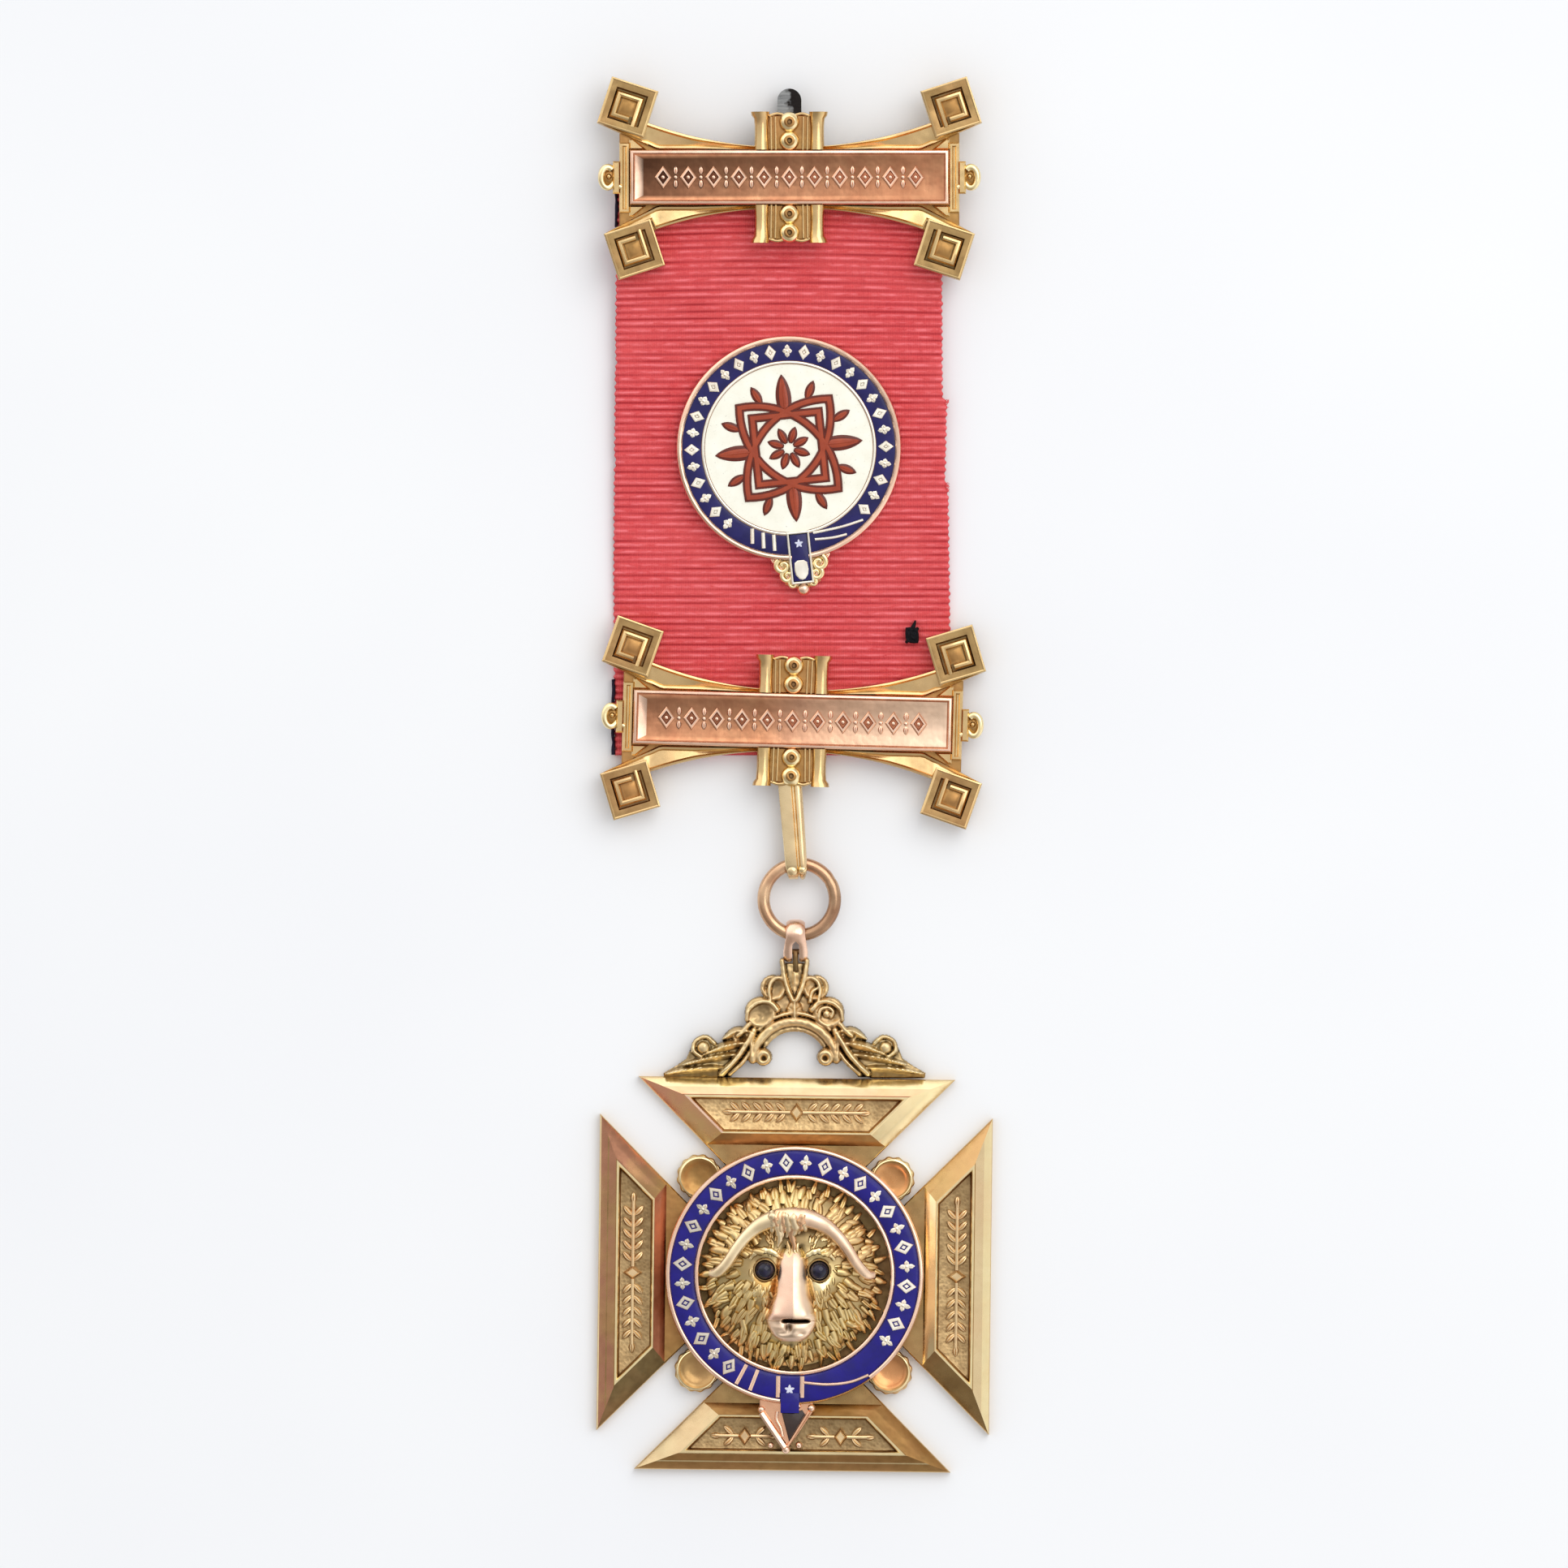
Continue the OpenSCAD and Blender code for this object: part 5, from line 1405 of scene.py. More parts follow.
def strap_path(length):
    """Middle line of a strap round a ring at 0 and a thinner pin at length, seen from its side."""
    lean = math.degrees(math.asin((RING_BEND_R - PIN_BEND_R) / length))
    ring_side = arc(0, 0, RING_BEND_R, 90 + lean, 180 - 2 * lean, 22)
    pin_side = arc(length, 0, PIN_BEND_R, -90 - lean, 180 + 2 * lean, 18)
    start, end = pin_side[-1], ring_side[0]
    straight = [start + (end - start) * share for share in np.linspace(0.12, 0.88, 8)]
    return np.vstack([ring_side, pin_side, straight])


def strap_link(length, near, far, kind, ridge):
    """A bent strap that closes round two pins, in the upright plane along Y."""
    p = strap_path(length)
    ahead = np.roll(p, -1, 0) - np.roll(p, 1, 0)
    ahead /= np.linalg.norm(ahead, axis=1)[:, None]
    out = np.column_stack([ahead[:, 1], -ahead[:, 0]])
    t = STRAP_T / 2
    section = [(-1, -t * 0.9), (-1, t * 0.3), (-0.86, t * 0.85), (0.06, t), (0.16, t * 0.2),
               (0.28, t * 0.2), (0.4, t + 0.5 * ridge), (0.6, t + ridge), (0.8, t + 0.5 * ridge),
               (1, t * 0.1), (1, -t * 0.9)]
    loops = []
    for (y, z), (out_y, out_z) in zip(p, out):
        half = (near + (far - near) * np.clip(y / length, 0, 1)) / 2
        half *= math.sqrt(1 - 0.55 * (min(0.0, y) / (RING_BEND_R + t)) ** 2)
        lift = [min(h, t) if out_z < 0.2 else h for _, h in section]
        loops.append([(half * u, y + out_y * h, z + out_z * h)
                      for (u, _), h in zip(section, lift)])
    shape = Shape()
    loft(shape, loops, kind, ring=True)
    # The right bead is laid in bright gold as a painted highlight, the left one in pale gold
    knob(shape, (0.58, -0.6, 1.14), dome(0.44, 0.46), "gold_bright", 20)
    knob(shape, (-0.42, -0.62, 1.14), dome(0.56, 0.38), "gold_pale", 20)
    return shape


def links():
    """Suspension loop, jump ring and bail."""
    bottom = RING_AT[1] + RING_R
    loop = strap_link(LOOP_PIN_Y - bottom, 2.1, 2.3, "gold_pale", 0.12)
    make_piece(loop.placed((RING_AT[0] - 0.3, bottom, LINK_Z), 4.4), "hanging_loop",
               "yellow_gold", "suspension_loop", crease=45)

    ring = Shape()
    sides = 24
    angles = around(96)
    path = round_points(angles, RING_R, LINK_Z) + np.array([*RING_AT, 0])
    # The ring is made darker towards its lower right
    tinted = 0.4 * smooth(np.cos(angles + 0.6), 0.1, 0.95)
    tube(ring, path, RING_WIRE * (1 - 0.1 * bell(angles, 0.55, 0.05)), "rose_ring", sides,
         ring=True, shade_and_darkening=np.repeat(tinted, sides))
    make_piece(ring, "round_ring", "rose_gold", "jump_ring", crease=60)

    bail = Shape()
    top = RING_AT[1] - RING_R
    bail.join(bail_legs(top - BAIL_PIN_Y), (0.1, top, LINK_Z), mirror=(1, -1))
    make_piece(bail, "forked_bail", "rose_gold", "cross_bail", crease=50)


def bail_legs(length):
    """Bail: one rounded strap round the ring that parts into two legs at its pin."""
    whole = Shape()
    reach = RING_BEND_R
    for side in (-1, 1):
        loops = []
        for a in np.radians(np.linspace(0, 360, 48, endpoint=False)):
            low = math.cos(a) < 0
            y = reach * math.cos(a) * (1 if low else (length + 0.72) / reach)
            share = min(1.0, max(0.0, y / length))
            z = reach * math.sin(a) * (1 - 0.3 * share)
            out = np.array([math.cos(a) * (1 if low else 0.35), math.sin(a)])
            out /= np.linalg.norm(out)
            inner = 0.34 * smooth(share, 0.38, 0.6)
            outer = 0.9 + 0.28 * share
            crest = 1 - 0.4 * smooth(share, 0.35, 0.6)
            section = []
            for u, h in ((0, -0.9), (0, crest), (0.3, 0.98), (0.6, 0.82), (0.85, 0.45),
                         (1, -0.1), (0.9, -0.9)):
                x = side * (inner + (outer - inner) * u)
                t = h * STRAP_T / 2
                section.append((x, y + out[0] * t, z + out[1] * t))
            loops.append(section)
        loft(whole, loops, "rose_pale", ring=True)
    return whole


# Cresting

def cresting():
    """Cast cresting: palmette over an arch, scrolls and leaves, with a pin for the bail."""
    cast = Relief((-12.8, 0.0), (12.8, 12.2), 0.085)
    cast.ground(PALMETTE + [(-x, y) for x, y in PALMETTE[::-1]], GROUND_T)
    for side in (-1, 1):
        cresting_half(cast, side)
    cresting_arch(cast)
    cast.leaf([(0, 5.9), (0, 6.7), (0, 7.6)], 1.5, GROUND_T, 0.7, 3)
    cast.leaf([(0, 7.9), (0, 9.2), (0, 10.9)], 0.5, GROUND_T, 0.12)
    cast.z -= 0.5 * smooth(1.0 - cast.y, 0, 1.0)
    wobble = RNG.normal(0, 1, cast.z.shape)
    for _ in range(3):
        wobble = averaged(wobble)
    cast.z += 0.09 * wobble
    # The wings are made darker towards their outer ends, more on the left
    foot = smooth(np.abs(cast.x), 5.6, 8.0) * (0.6 - 0.2 * smooth(cast.x, 0, 1))
    cast.patch_darkening = np.maximum(cast.patch_darkening, foot)
    placed = drawn(cast.mesh, 0.0, "gold_cast").placed(CREST_AT)
    # The lug and the pin are in shaded gold: painted shade in the bail's slot
    plate(placed, box_outline(-0.15, 0.35, BAIL_PIN_Y - 1.9, BAIL_PIN_Y + 0.15),
          [(0, LINK_Z - 0.7), (0, LINK_Z + 0.3), (0.12, LINK_Z + 0.42)], "gold_shade")
    pin = [(-0.8, BAIL_PIN_Y, LINK_Z), (1.0, BAIL_PIN_Y, LINK_Z)]
    tube(placed, pin, 0.26, "gold_shade", 16)
    make_piece(placed, "cresting_cast", "yellow_gold", "cresting", crease=75)


def cresting_arch(cast):
    """Open the hollow under the arch, then lay its two rods and the beads at their ends."""
    hollow = np.hypot(cast.x, cast.y - ARCH_Y) - (ARCH_R - 0.85)
    cast.depth = np.minimum(cast.depth, np.where(cast.y > 2.4, hollow, cast.depth))
    cast.rod(arc(0, ARCH_Y, ARCH_R, 6, 168, 40), 0.5, 1.75)
    cast.rod(arc(0, ARCH_Y, ARCH_R - 0.72, 22, 136, 30), 0.26, 1.12)
    for side in (-1, 1):
        cast.ball(side * 3.0, 2.05, 0.88, 1.95)
        cast.z -= 0.7 * bell(np.hypot(cast.x - side * 2.95, cast.y - 1.95), 0, 0.3)


def cresting_half(cast, side):
    """Scrolls, lobes, ribs and leaves of one half of the cresting."""
    def flip(points):
        return [(side * x, y) for x, y in points]

    cast.ground(flip(WEDGE), GROUND_T)
    # The bowls' dished middles are darkened as painted shade, more on the left
    for x, y, radius, top in CREST_BOWLS:
        cast.bowl(side * x, y, radius, top, 0.36, 0.5 if side < 0 else 0.3)
    for path, radius, top in CREST_RIBS + (CREST_RIBS_RIGHT if side > 0 else []):
        cast.rod(flip(spline(path, 4)), radius, top, radius * 0.75)
    if side > 0:
        cast.ball(3.1, 6.2, 0.42, 1.75)
    cast.ball(side * 8.75, 2.95, 0.6, 1.9)
    for path, width, base, rise in CREST_LEAVES:
        cast.leaf(flip(spline(path, 5)), width, base, rise)
    cast.ground(flip([(3.7, 3.9), (4.3, 4.3), (7.3, 0.1), (6.1, 0.1)]), 0.8)
    for x0, y0, x1, y1, top in ((4.05, 4.3, 7.05, 0.4, 1.95), (3.6, 3.7, 6.2, 0.4, 1.6)):
        strut = [(x0, y0), ((x0 + x1) / 2 - 0.15, (y0 + y1) / 2 - 0.2), (x1, y1)]
        cast.rod(flip(spline(strut, 6)), 0.3, top, 0.22)
    cast.rod(flip([(3.9, 4.6), (4.15, 3.4), (4.1, 2.0)]), 0.3, 1.75, 0.2)


# Cross

def arm_loop(outer, side, low, z):
    """Corners of an arm drawn in along its outer edge and its sides, cut off at low."""
    high = ARM_REACH - outer
    near = low - ARM_OFFSET - side * ROOT2
    far = high - ARM_OFFSET - side * ROOT2
    return [(-near, low, z), (near, low, z), (far, high, z), (-far, high, z)]


def cross_arm(shape, finishes):
    """One arm: bevels with a soft break, a fine ridge and a sunk panel."""
    steps = (
        (0, 0, 9.5, 0), (0, 0, 9.5, 1.0), (0.07, 0.07, 9.6, 1.1), (0.14, 0.14, 12.4, 1.17),
        (0.78, 0.9, 12.85, 1.68), (0.9, 1.02, 12.95, 1.76), (1.6, 1.82, 13.45, 2.22),
        (1.68, 1.92, 13.52, RIDGE_Z), (1.88, 2.12, 13.66, RIDGE_Z), (1.96, 2.2, 13.74, 2.2),
        (2.1, 2.34, 13.88, PANEL_Z + 0.05), (2.2, 2.46, 14.0, PANEL_Z))
    # Bands 7 and 8, the ridge, are painted bright as a highlight; band 9, the drop to the panel, dark as
    # shade
    loft(shape, [arm_loop(*step) for step in steps],
         ["gold"] * 7 + ["gold_bright"] * 2 + ["gold_deep", "gold_panel"])
    near, right, left, outer = finishes

    def paint(band, side, kind):
        shape.kinds[band * 4 + side] = kind

    near_side, right_side, outer_side, left_side = range(4)
    # On the top arm the ridge's left side is painted pale rose as a highlight; the other bevels take lit
    # and shaded copies of gold, painted by the way they face
    if left == "flushed":
        for band in (7, 8):
            paint(band, left_side, "rose_pale")
    paint(2, near_side, "gold_deep" if near == "rose_deep" else "gold_key")
    for band, kind in enumerate(outer, 2):
        paint(band, right_side, right)
        paint(band, outer_side, kind)
        paint(band, left_side, left)
        if band > 2:
            paint(band, near_side, near)


def sprig(shape, half_length):
    """Raised sprig along X: a lozenge with a stem and paired leaves on both sides."""
    base = PANEL_Z + 0.02
    foot = base + 0.05
    plate(shape, lozenge_outline(1.4, 1.9),
          [(0, base - 0.05), (0.03, base + 0.2), (0.16, base + 0.34), (0.26, base + 0.24)],
          "gold_work")
    t = np.linspace(0, 1, 8)
    for side in (-1, 1):
        stem = [(side * 0.6, 0, base + 0.16), (side * half_length, 0, base + 0.12)]
        tube(shape, stem, 0.19, "gold_work", 8)
        for x in np.arange(1.15, half_length - 0.9, 1.1):
            for lift in (-1, 1):
                spine = np.column_stack([side * (x + t * 0.85), lift * (0.1 + 0.82 * t ** 0.8)])
                leaf(shape, lifted(spine, foot), 0.62, 0.36, "gold_work")
            knob(shape, (side * (x + 0.95), 0, foot), dome(0.2, 0.26), "gold_work", 8)
        tip = [(side * (half_length - 0.5 + 0.1 * k), 0, foot) for k in range(11)]
        leaf(shape, tip, 0.6, 0.32, "gold_work")


def back_lobe(shape, dish_kind):
    """Lobe between two arms: a scalloped plate, a raised round lip and a dished middle."""
    angles = around(90)
    reach = 2.12 + 0.07 * np.cos(13 * angles)
    plate(shape, round_points(angles, reach, 0),
          [(0, 0.02), (0, 0.95), (0.12, 1.12), (0.3, 1.14)], "gold_cast")
    dish = [(1.96, 1.0, 0), (1.96, 1.36, 0), (1.9, 1.52, 0), (1.8, 1.58, -0.04),
            (1.66, 1.54, -0.1), (1.45, 1.38, -0.14), (1.1, 1.25, -0.14), (0.7, 1.19, -0.14),
            (0.35, 1.17, -0.14), (0.1, 1.165, -0.14)]
    loops = [round_points(around(48), r, z) + np.array([shift, 0, 0]) for r, z, shift in dish]
    # The lip is painted bright as a highlight, its inner wall dark as shade, and the dish takes a lit or
    # shaded copy of gold
    loft(shape, loops, ["gold_bright"] * 3 + ["gold_deep"] + [dish_kind] * 5)


def cross():
    """Back plate, lobes, four arms and their sprigs, soldered together."""
    whole = Shape()
    # The back plate is in shaded gold: painted shade in the gap round the head
    knob(whole, (0, 0, 0), [(12.1, 0.04), (12.2, 0.14), (12.2, 1.2), (12.1, 1.3)],
         "gold_shade", 96)
    for turn, sprig_reach in ((0, 6.6), (90, 7.2), (180, None), (270, 7.2)):
        arm = drawn(cross_arm, ARM_FINISH[turn])
        arm.shade_and_darkening = [ARM_DARKENING[turn]] * (len(arm.points) - 8) + [PANEL_DARKENING[turn]] * 8
        if sprig_reach:
            arm.join(drawn(sprig, sprig_reach), (0, SPRIG_Y))
        whole.join(arm, turn=turn)
        whole.join(drawn(back_lobe, LOBE_DISH[turn]), polar(LOBE_POS, 45 + turn), 45 + turn)
    for side in (-1, 1):
        whole.join(drawn(sprig, 2.8), (side * 4.6, -SPRIG_Y))
    at_cross(whole, "cross_body", "yellow_gold", "cross")


def at_cross(part, name, slot, node, crease=32.0):
    """Lay a part on the cross, turned as the cross lies, and make it a piece."""
    return make_piece(part.placed(CROSS_AT, CROSS_TURN), name, slot, node, crease=crease)


# Garter

def rim_section(inner, outer):
    """Rounded section of a garter rim."""
    w = outer - inner
    top = GARTER_RIM_Z
    return [(inner, PANEL_Z), (inner, top - 0.16), (inner + 0.14 * w, top - 0.05),
            (inner + 0.4 * w, top), (inner + 0.7 * w, top - 0.03), (inner + 0.9 * w, top - 0.12),
            (outer, top - 0.3), (outer, PANEL_Z)]


def garter_ring(shape):
    """Two rims and the tray between them; the outer rim is low where the strap crosses it."""
    top = GARTER_RIM_Z
    inner = GARTER_HOLE
    outer = GARTER_R
    hoop(shape, rim_section(inner, inner + GARTER_RIM_W), "rose_pale")
    hoop(shape, [(inner + 0.3, PANEL_Z), (inner + 0.3, GARTER_FLOOR_Z),
                 (outer - 0.1, GARTER_FLOOR_Z), (outer - 0.1, PANEL_Z)], "rose")
    hoop(shape, rim_section(outer - GARTER_RIM_W, outer), "rose_pale",
         start=-53, sweep=317)
    hoop(shape, [(outer - 0.16, PANEL_Z), (outer - 0.16, top - 0.2), (outer - 0.08, top - 0.12),
                 (outer, top - 0.3), (outer, PANEL_Z)], "gold", sides=24, start=-98, sweep=48)


def garter_marks(shape):
    """Studs round the enamel, and the bars and the line of the buckle."""
    z = GARTER_ENAMEL_Z
    ring_of_studs(shape, (GARTER_R + GARTER_HOLE) / 2, z, 1.42, 1.86,
                  lambda x, y: y < -9.6 or (y < -7.4 and x > 0), 0.32)
    for angle in (-117.5, -110.5):
        bar_line = [polar(9.75, angle), polar(11.85, angle)]
        moulding(shape, bar_line, wire(0.34, 0.14), "rose_pale", base=z - 0.02)
    for x in (-1.45, 0.85):
        moulding(shape, [(x, -9.7), (x, -11.75)], wire(0.4, 0.16), "rose_pale", base=z - 0.02)
    line = spline([(1.0, -10.3), (3.2, -10.45), (5.4, -10.2), (7.2, -9.5)], 8)
    moulding(shape, line, wire(0.3, 0.2), "rose_pale", base=z - 0.04)


def strap_end(shape):
    """Pointed strap end: a plate with a raised line on each side, beads and a curl."""
    outline = [(-3.2, -11.95), (-3.2, -13.4), (-0.6, -16.9), (1.9, -13.1), (1.9, -11.95)]
    plate(shape, outline, [(0, RIDGE_Z + 0.1), (0, 2.62), (0.1, 2.72)], "rose")
    left_line = [(-0.34, 0), (-0.3, 0.42), (-0.1, 0.56), (0.2, 0.5), (0.34, 0.3), (0.36, 0)]
    moulding(shape, [(-3.0, -13.25), (-0.72, -16.55)], left_line, "rose_pale", base=2.62)
    moulding(shape, [(-0.5, -16.5), (1.55, -13.1)], wire(0.3, 0.3), "rose", base=2.66)
    for x, y, r in ((-0.62, -16.75, 0.42), (0.62, -16.3, 0.34), (1.75, -12.75, 0.42),
                    (0.55, -12.55, 0.3), (-3.0, -12.95, 0.4), (-2.1, -16.35, 0.3)):
        knob(shape, (x, y, 2.5), dome(r, 0.5), "rose_pale", 16)
    curl = spline([(-1.5, -13.1), (-1.55, -13.9), (-1.15, -14.7), (-0.95, -15.5)], 5)
    moulding(shape, curl, wire(0.34, 0.3), "rose_pale", base=2.75)


def garter_enamels():
    """Cobalt ring with its strap and star, and the brown remains on the strap end."""
    blue = Shape()
    z = GARTER_ENAMEL_Z
    low = GARTER_FLOOR_Z + 0.03
    outer = GARTER_R - GARTER_RIM_W - 0.02
    enamel_ring(blue, GARTER_HOLE + GARTER_RIM_W + 0.02, outer, low, z, 0.08, 0.25, "cobalt")
    hoop(blue, [(outer - 0.3, low), (outer - 0.3, z), (GARTER_R - 0.3, z - 0.06),
                (GARTER_R - 0.18, z - 0.12), (GARTER_R - 0.18, low)], "cobalt", sides=30,
         start=-97, sweep=45)
    plate(blue, box_outline(-1.2, 0.6, -13.25, -11.3),
          [(0, 2.7), (0.02, z + 0.1), (0.12, z + 0.14)], "cobalt")
    star(blue, -0.35, -11.0, z + 0.01, 0.5, 0.26, 0.07)
    at_cross(blue, "garter_blue", "cobalt_enamel", "garter_enamel")

    brown = Shape()
    tip = [(-1.1, -13.2), (-0.35, -15.95), (1.2, -13.35), (0.9, -12.9), (0.0, -13.25)]
    plate(brown, tip, [(0, 2.72), (0.03, 2.98), (0.14, 3.04)], "brown")
    at_cross(brown, "garter_tip", "brown_enamel", "garter_tip_enamel")


def garter():
    """Gold of the garter as one piece, and its enamels."""
    whole = Shape()
    garter_ring(whole)
    garter_marks(whole)
    strap_end(whole)
    at_cross(whole, "garter_rims", "rose_gold", "garter")
    garter_enamels()


# Head

def mane_edge(angle):
    """Edge of the mane by direction: wider below, for the beard."""
    lift = np.sin(angle)
    return MANE_R + BEARD * np.maximum(0, -lift) ** 2 + 0.25 * np.maximum(0, lift) ** 2


def face_middles(shape):
    """Middle of each face of a shape, seen from above."""
    return [np.mean([shape.points[k][:2] for k in face], axis=0) for face in shape.faces]


def swell(x, y):
    """Height of the head under its locks."""
    u = np.clip(np.hypot(x, y) / MANE_R, 0, 1)
    return MANE_EDGE_Z + (FACE_Z - MANE_EDGE_Z) * (1 - u ** 2.4) ** 0.75


def head_height(x, y):
    """The head's form under hair: brows, cheeks and chin, cut back round eyes and muzzle."""
    z = swell(x, y)
    for cx, cy, wx, wy, rise in FACE_MOUNDS:
        z = z + rise * mound(x, y, cx, cy, wx, wy)
    eye = np.hypot(np.abs(x) - EYE[0], y - EYE[1])
    z = np.minimum(z, EYE[2] - 0.45 + 3.2 * np.maximum(0, eye - EYE_R - 0.05))
    rows = np.array(MUZZLE)[::-1]
    half = np.interp(y, rows[:, 0], rows[:, 1])
    clear = np.maximum(np.abs(x) - half, np.maximum(y - MUZZLE[0][0], MUZZLE[-1][0] - y))
    return np.minimum(z, SEAT_Z - 0.05 + 2 * np.maximum(0, clear - 0.1))


def lock(shape, x, y, heading, length, width, rise, kind, bend=0.0, strands=2):
    """One lock of hair that lies on the head: strands side by side, thick end to point."""
    stations = 8
    t = np.linspace(0, 1, stations)
    a = math.radians(heading)
    turn = a + math.radians(bend) * t
    px = x + np.cumsum(np.cos(turn)) * length / stations
    py = y + np.cumsum(np.sin(turn)) * length / stations
    side = np.column_stack([-np.sin(turn), np.cos(turn)])
    across = np.linspace(-1, 1, 4 * strands + 1)
    comb = np.sqrt(np.clip(1 - across ** 2, 0, 1)) * (
        0.62 + 0.38 * np.abs(np.cos(math.pi * strands / 2 * (across + 1) + math.pi / 2)))
    root = float(head_height(x, y))
    loops = []
    shade_and_darkening = []
    for i in range(stations):
        half = width / 2 * math.sin(math.pi * (0.3 + 0.6 * t[i])) ** 0.85
        high = rise * (0.55 + 0.45 * math.sin(math.pi * (0.12 + 0.7 * t[i])))
        high *= 1 - 0.6 * max(0, t[i] - 0.65) / 0.35
        lx = px[i] + side[i, 0] * across * half
        ly = py[i] + side[i, 1] * across * half
        base = head_height(lx, ly)
        top = np.maximum(base, root - 0.5 * length * t[i]) + high * comb
        loops.append(np.concatenate([np.column_stack([lx, ly, top]),
                                     np.column_stack([lx, ly, base - 0.25])[::-1]]))
        # Painted shade at the edges of the strands and under the lock
        shade = 0.45 * (1 - comb) ** 1.2
        shade_and_darkening.append(np.concatenate([shade, np.ones(len(across))]))
    loft(shape, loops, kind, shade_and_darkening=np.concatenate(shade_and_darkening))


def free_of_face(x, y):
    """How clear a place is of eyes, cheeks and muzzle, from 0 to 1: hair grows above half."""
    ax = np.abs(x)
    face = smooth(ax, 1.7, 2.3) + smooth(-y, 6.0, 6.5) + smooth(y, 2.2, 2.8)
    eye = smooth(np.hypot(ax - EYE[0], y - EYE[1]), 1.2, 1.6)
    cheek = smooth(np.hypot((ax - 2.7) / 0.85, (y + 1.3) / 1.35), 0.8, 1.2)
    brow = smooth(np.hypot(x / 3.3, (y - 3.3) / 1.05), 0.8, 1.1)
    chin = smooth(np.hypot(x / 0.45, (y + 6.75) / 0.4), 0.8, 1.2)
    return np.clip(face, 0, 1) * eye * cheek * brow * chin


def mane(shape):
    """Rows of locks from the edge inwards, radial above and hanging below."""
    for row, radius in enumerate(MANE_ROWS):
        count = int(2 * math.pi * radius / LOCK_SPACING)
        for k in range(count):
            angle = 2 * math.pi * (k + 0.5 * (row % 2)) / count + RNG.normal(0, 0.03)
            spread = radius + RNG.normal(0, 0.16)
            x = spread * math.cos(angle)
            y = spread * math.sin(angle) - (0.25 if angle > math.pi else 0)
            if free_of_face(x, y) < 0.5 or math.hypot(x, y) > mane_edge(angle) - 0.3:
                continue
            down = smooth(-math.sin(angle), -0.35, 0.45)
            radial = math.degrees(math.atan2(y, x))
            hang = -90 + math.degrees(math.atan2(x, 7.5))
            gap = (hang - radial + 180) % 360 - 180
            heading = radial + gap * down + RNG.normal(0, 13)
            length = 1.6 + 0.2 * down + RNG.normal(0, 0.18)
            width = 0.98 - 0.16 * down + RNG.normal(0, 0.09)
            rise = 0.34 + 0.3 * RNG.random()
            if math.hypot(x, y) + length > mane_edge(angle) + 0.15:
                length *= 0.75
                width *= 0.72
            lock(shape, x, y, heading, length, width, rise, "mane", RNG.normal(0, 18), 1 + k % 2)


def face_hair(shape):
    """Short fine hairs over the cheeks and brows, which run away from the eyes."""
    for side in (-1, 1):
        for _ in range(FACE_HAIRS):
            x = 1.5 + 3.2 * RNG.random()
            y = -3.6 + 7.6 * RNG.random()
            turn = RNG.normal(0, 14)
            bend = RNG.normal(0, 16)
            eye = math.hypot(x - EYE[0], y - EYE[1])
            nose = float(np.interp(-y, [-2.6, 1.6, 3.9], [1.1, 2.0, 2.75]))
            if eye < 1.35 or x < nose or free_of_face(x, y) > 0.75:
                continue
            heading = -82 + 10 * (x - 2.7) if y < 0.8 else 62 - 26 * (x - 2.0)
            if side < 0:
                heading = 180 - heading
            # Some hairs in bright gold: a painted highlight
            kind = "gold_bright" if RNG.random() < 0.4 and eye > 1.8 else "mane"
            lock(shape, side * x, y, heading + turn, 0.85, 0.34, 0.15, kind, bend, 1)


def head_form(shape):
    """The head under its hair: painted shade on the brow under the horns, in the mouth, round its edge and
    between the locks; the cheeks beside the nose are bright, the right one as a painted highlight.
    """
    rings = 34
    angles = around(120)
    edge = mane_edge(angles) - 0.05
    loops = [round_points(angles, edge, 1.36)]
    shade_and_darkening = [np.ones(120)]
    for i in range(rings, 0, -1):
        reach = edge * i / rings
        x = reach * np.cos(angles)
        y = reach * np.sin(angles)
        loops.append(np.column_stack([x, y, head_height(x, y)]))
        # Painted shade: darker on the brow under the horns, in the mouth, round the edge and where hair
        # grows between the locks
        brow = smooth(y, 2.0, 2.9) * (1 - smooth(y, 4.6, 5.4)) * (1 - smooth(np.abs(x), 3.4, 4.6))
        mouth = mound(x, y, 0, -6.7, 0.5, 0.4)
        shade_and_darkening.append(np.maximum(0.1 + 0.34 * free_of_face(x, y), np.maximum(0.75 * brow, mouth)))
    loft(shape, loops, "mane", shade_and_darkening=np.concatenate(shade_and_darkening))
    # The cheeks: the right one in bright gold as a painted highlight, the left in cheek gold
    for i, (x, y) in enumerate(face_middles(shape)):
        if math.hypot((abs(x) - 2.3) / 1.3, (y + 0.3) / 1.7) < 1:
            shape.kinds[i] = "gold_bright" if x > 0 else "gold_cheek"


def brow_and_lid(shape, side):
    """Lumpy brow over an eye, and the thin lid round it."""
    t = np.radians(np.linspace(28, 152, 22))
    x = side * EYE[0] + 1.6 * np.cos(t)
    y = EYE[1] + 0.3 + 1.6 * np.sin(t)
    size = 0.34 * np.sin(np.linspace(0.5, 2.7, 22)) * (1 + 0.18 * np.sin(np.arange(22) * 1.9))
    tube(shape, np.column_stack([x, y, head_height(x, y) + 0.06]), size + 0.03, "gold_bright",
         10, 0.8)
    lid = arc(side * EYE[0], EYE[1], EYE_R + 0.14, 0, 360, 37)[:-1]
    tube(shape, lifted(lid, EYE[2] + 0.02), 0.12, "gold_key", 8, ring=True, shade_and_darkening=0.3)


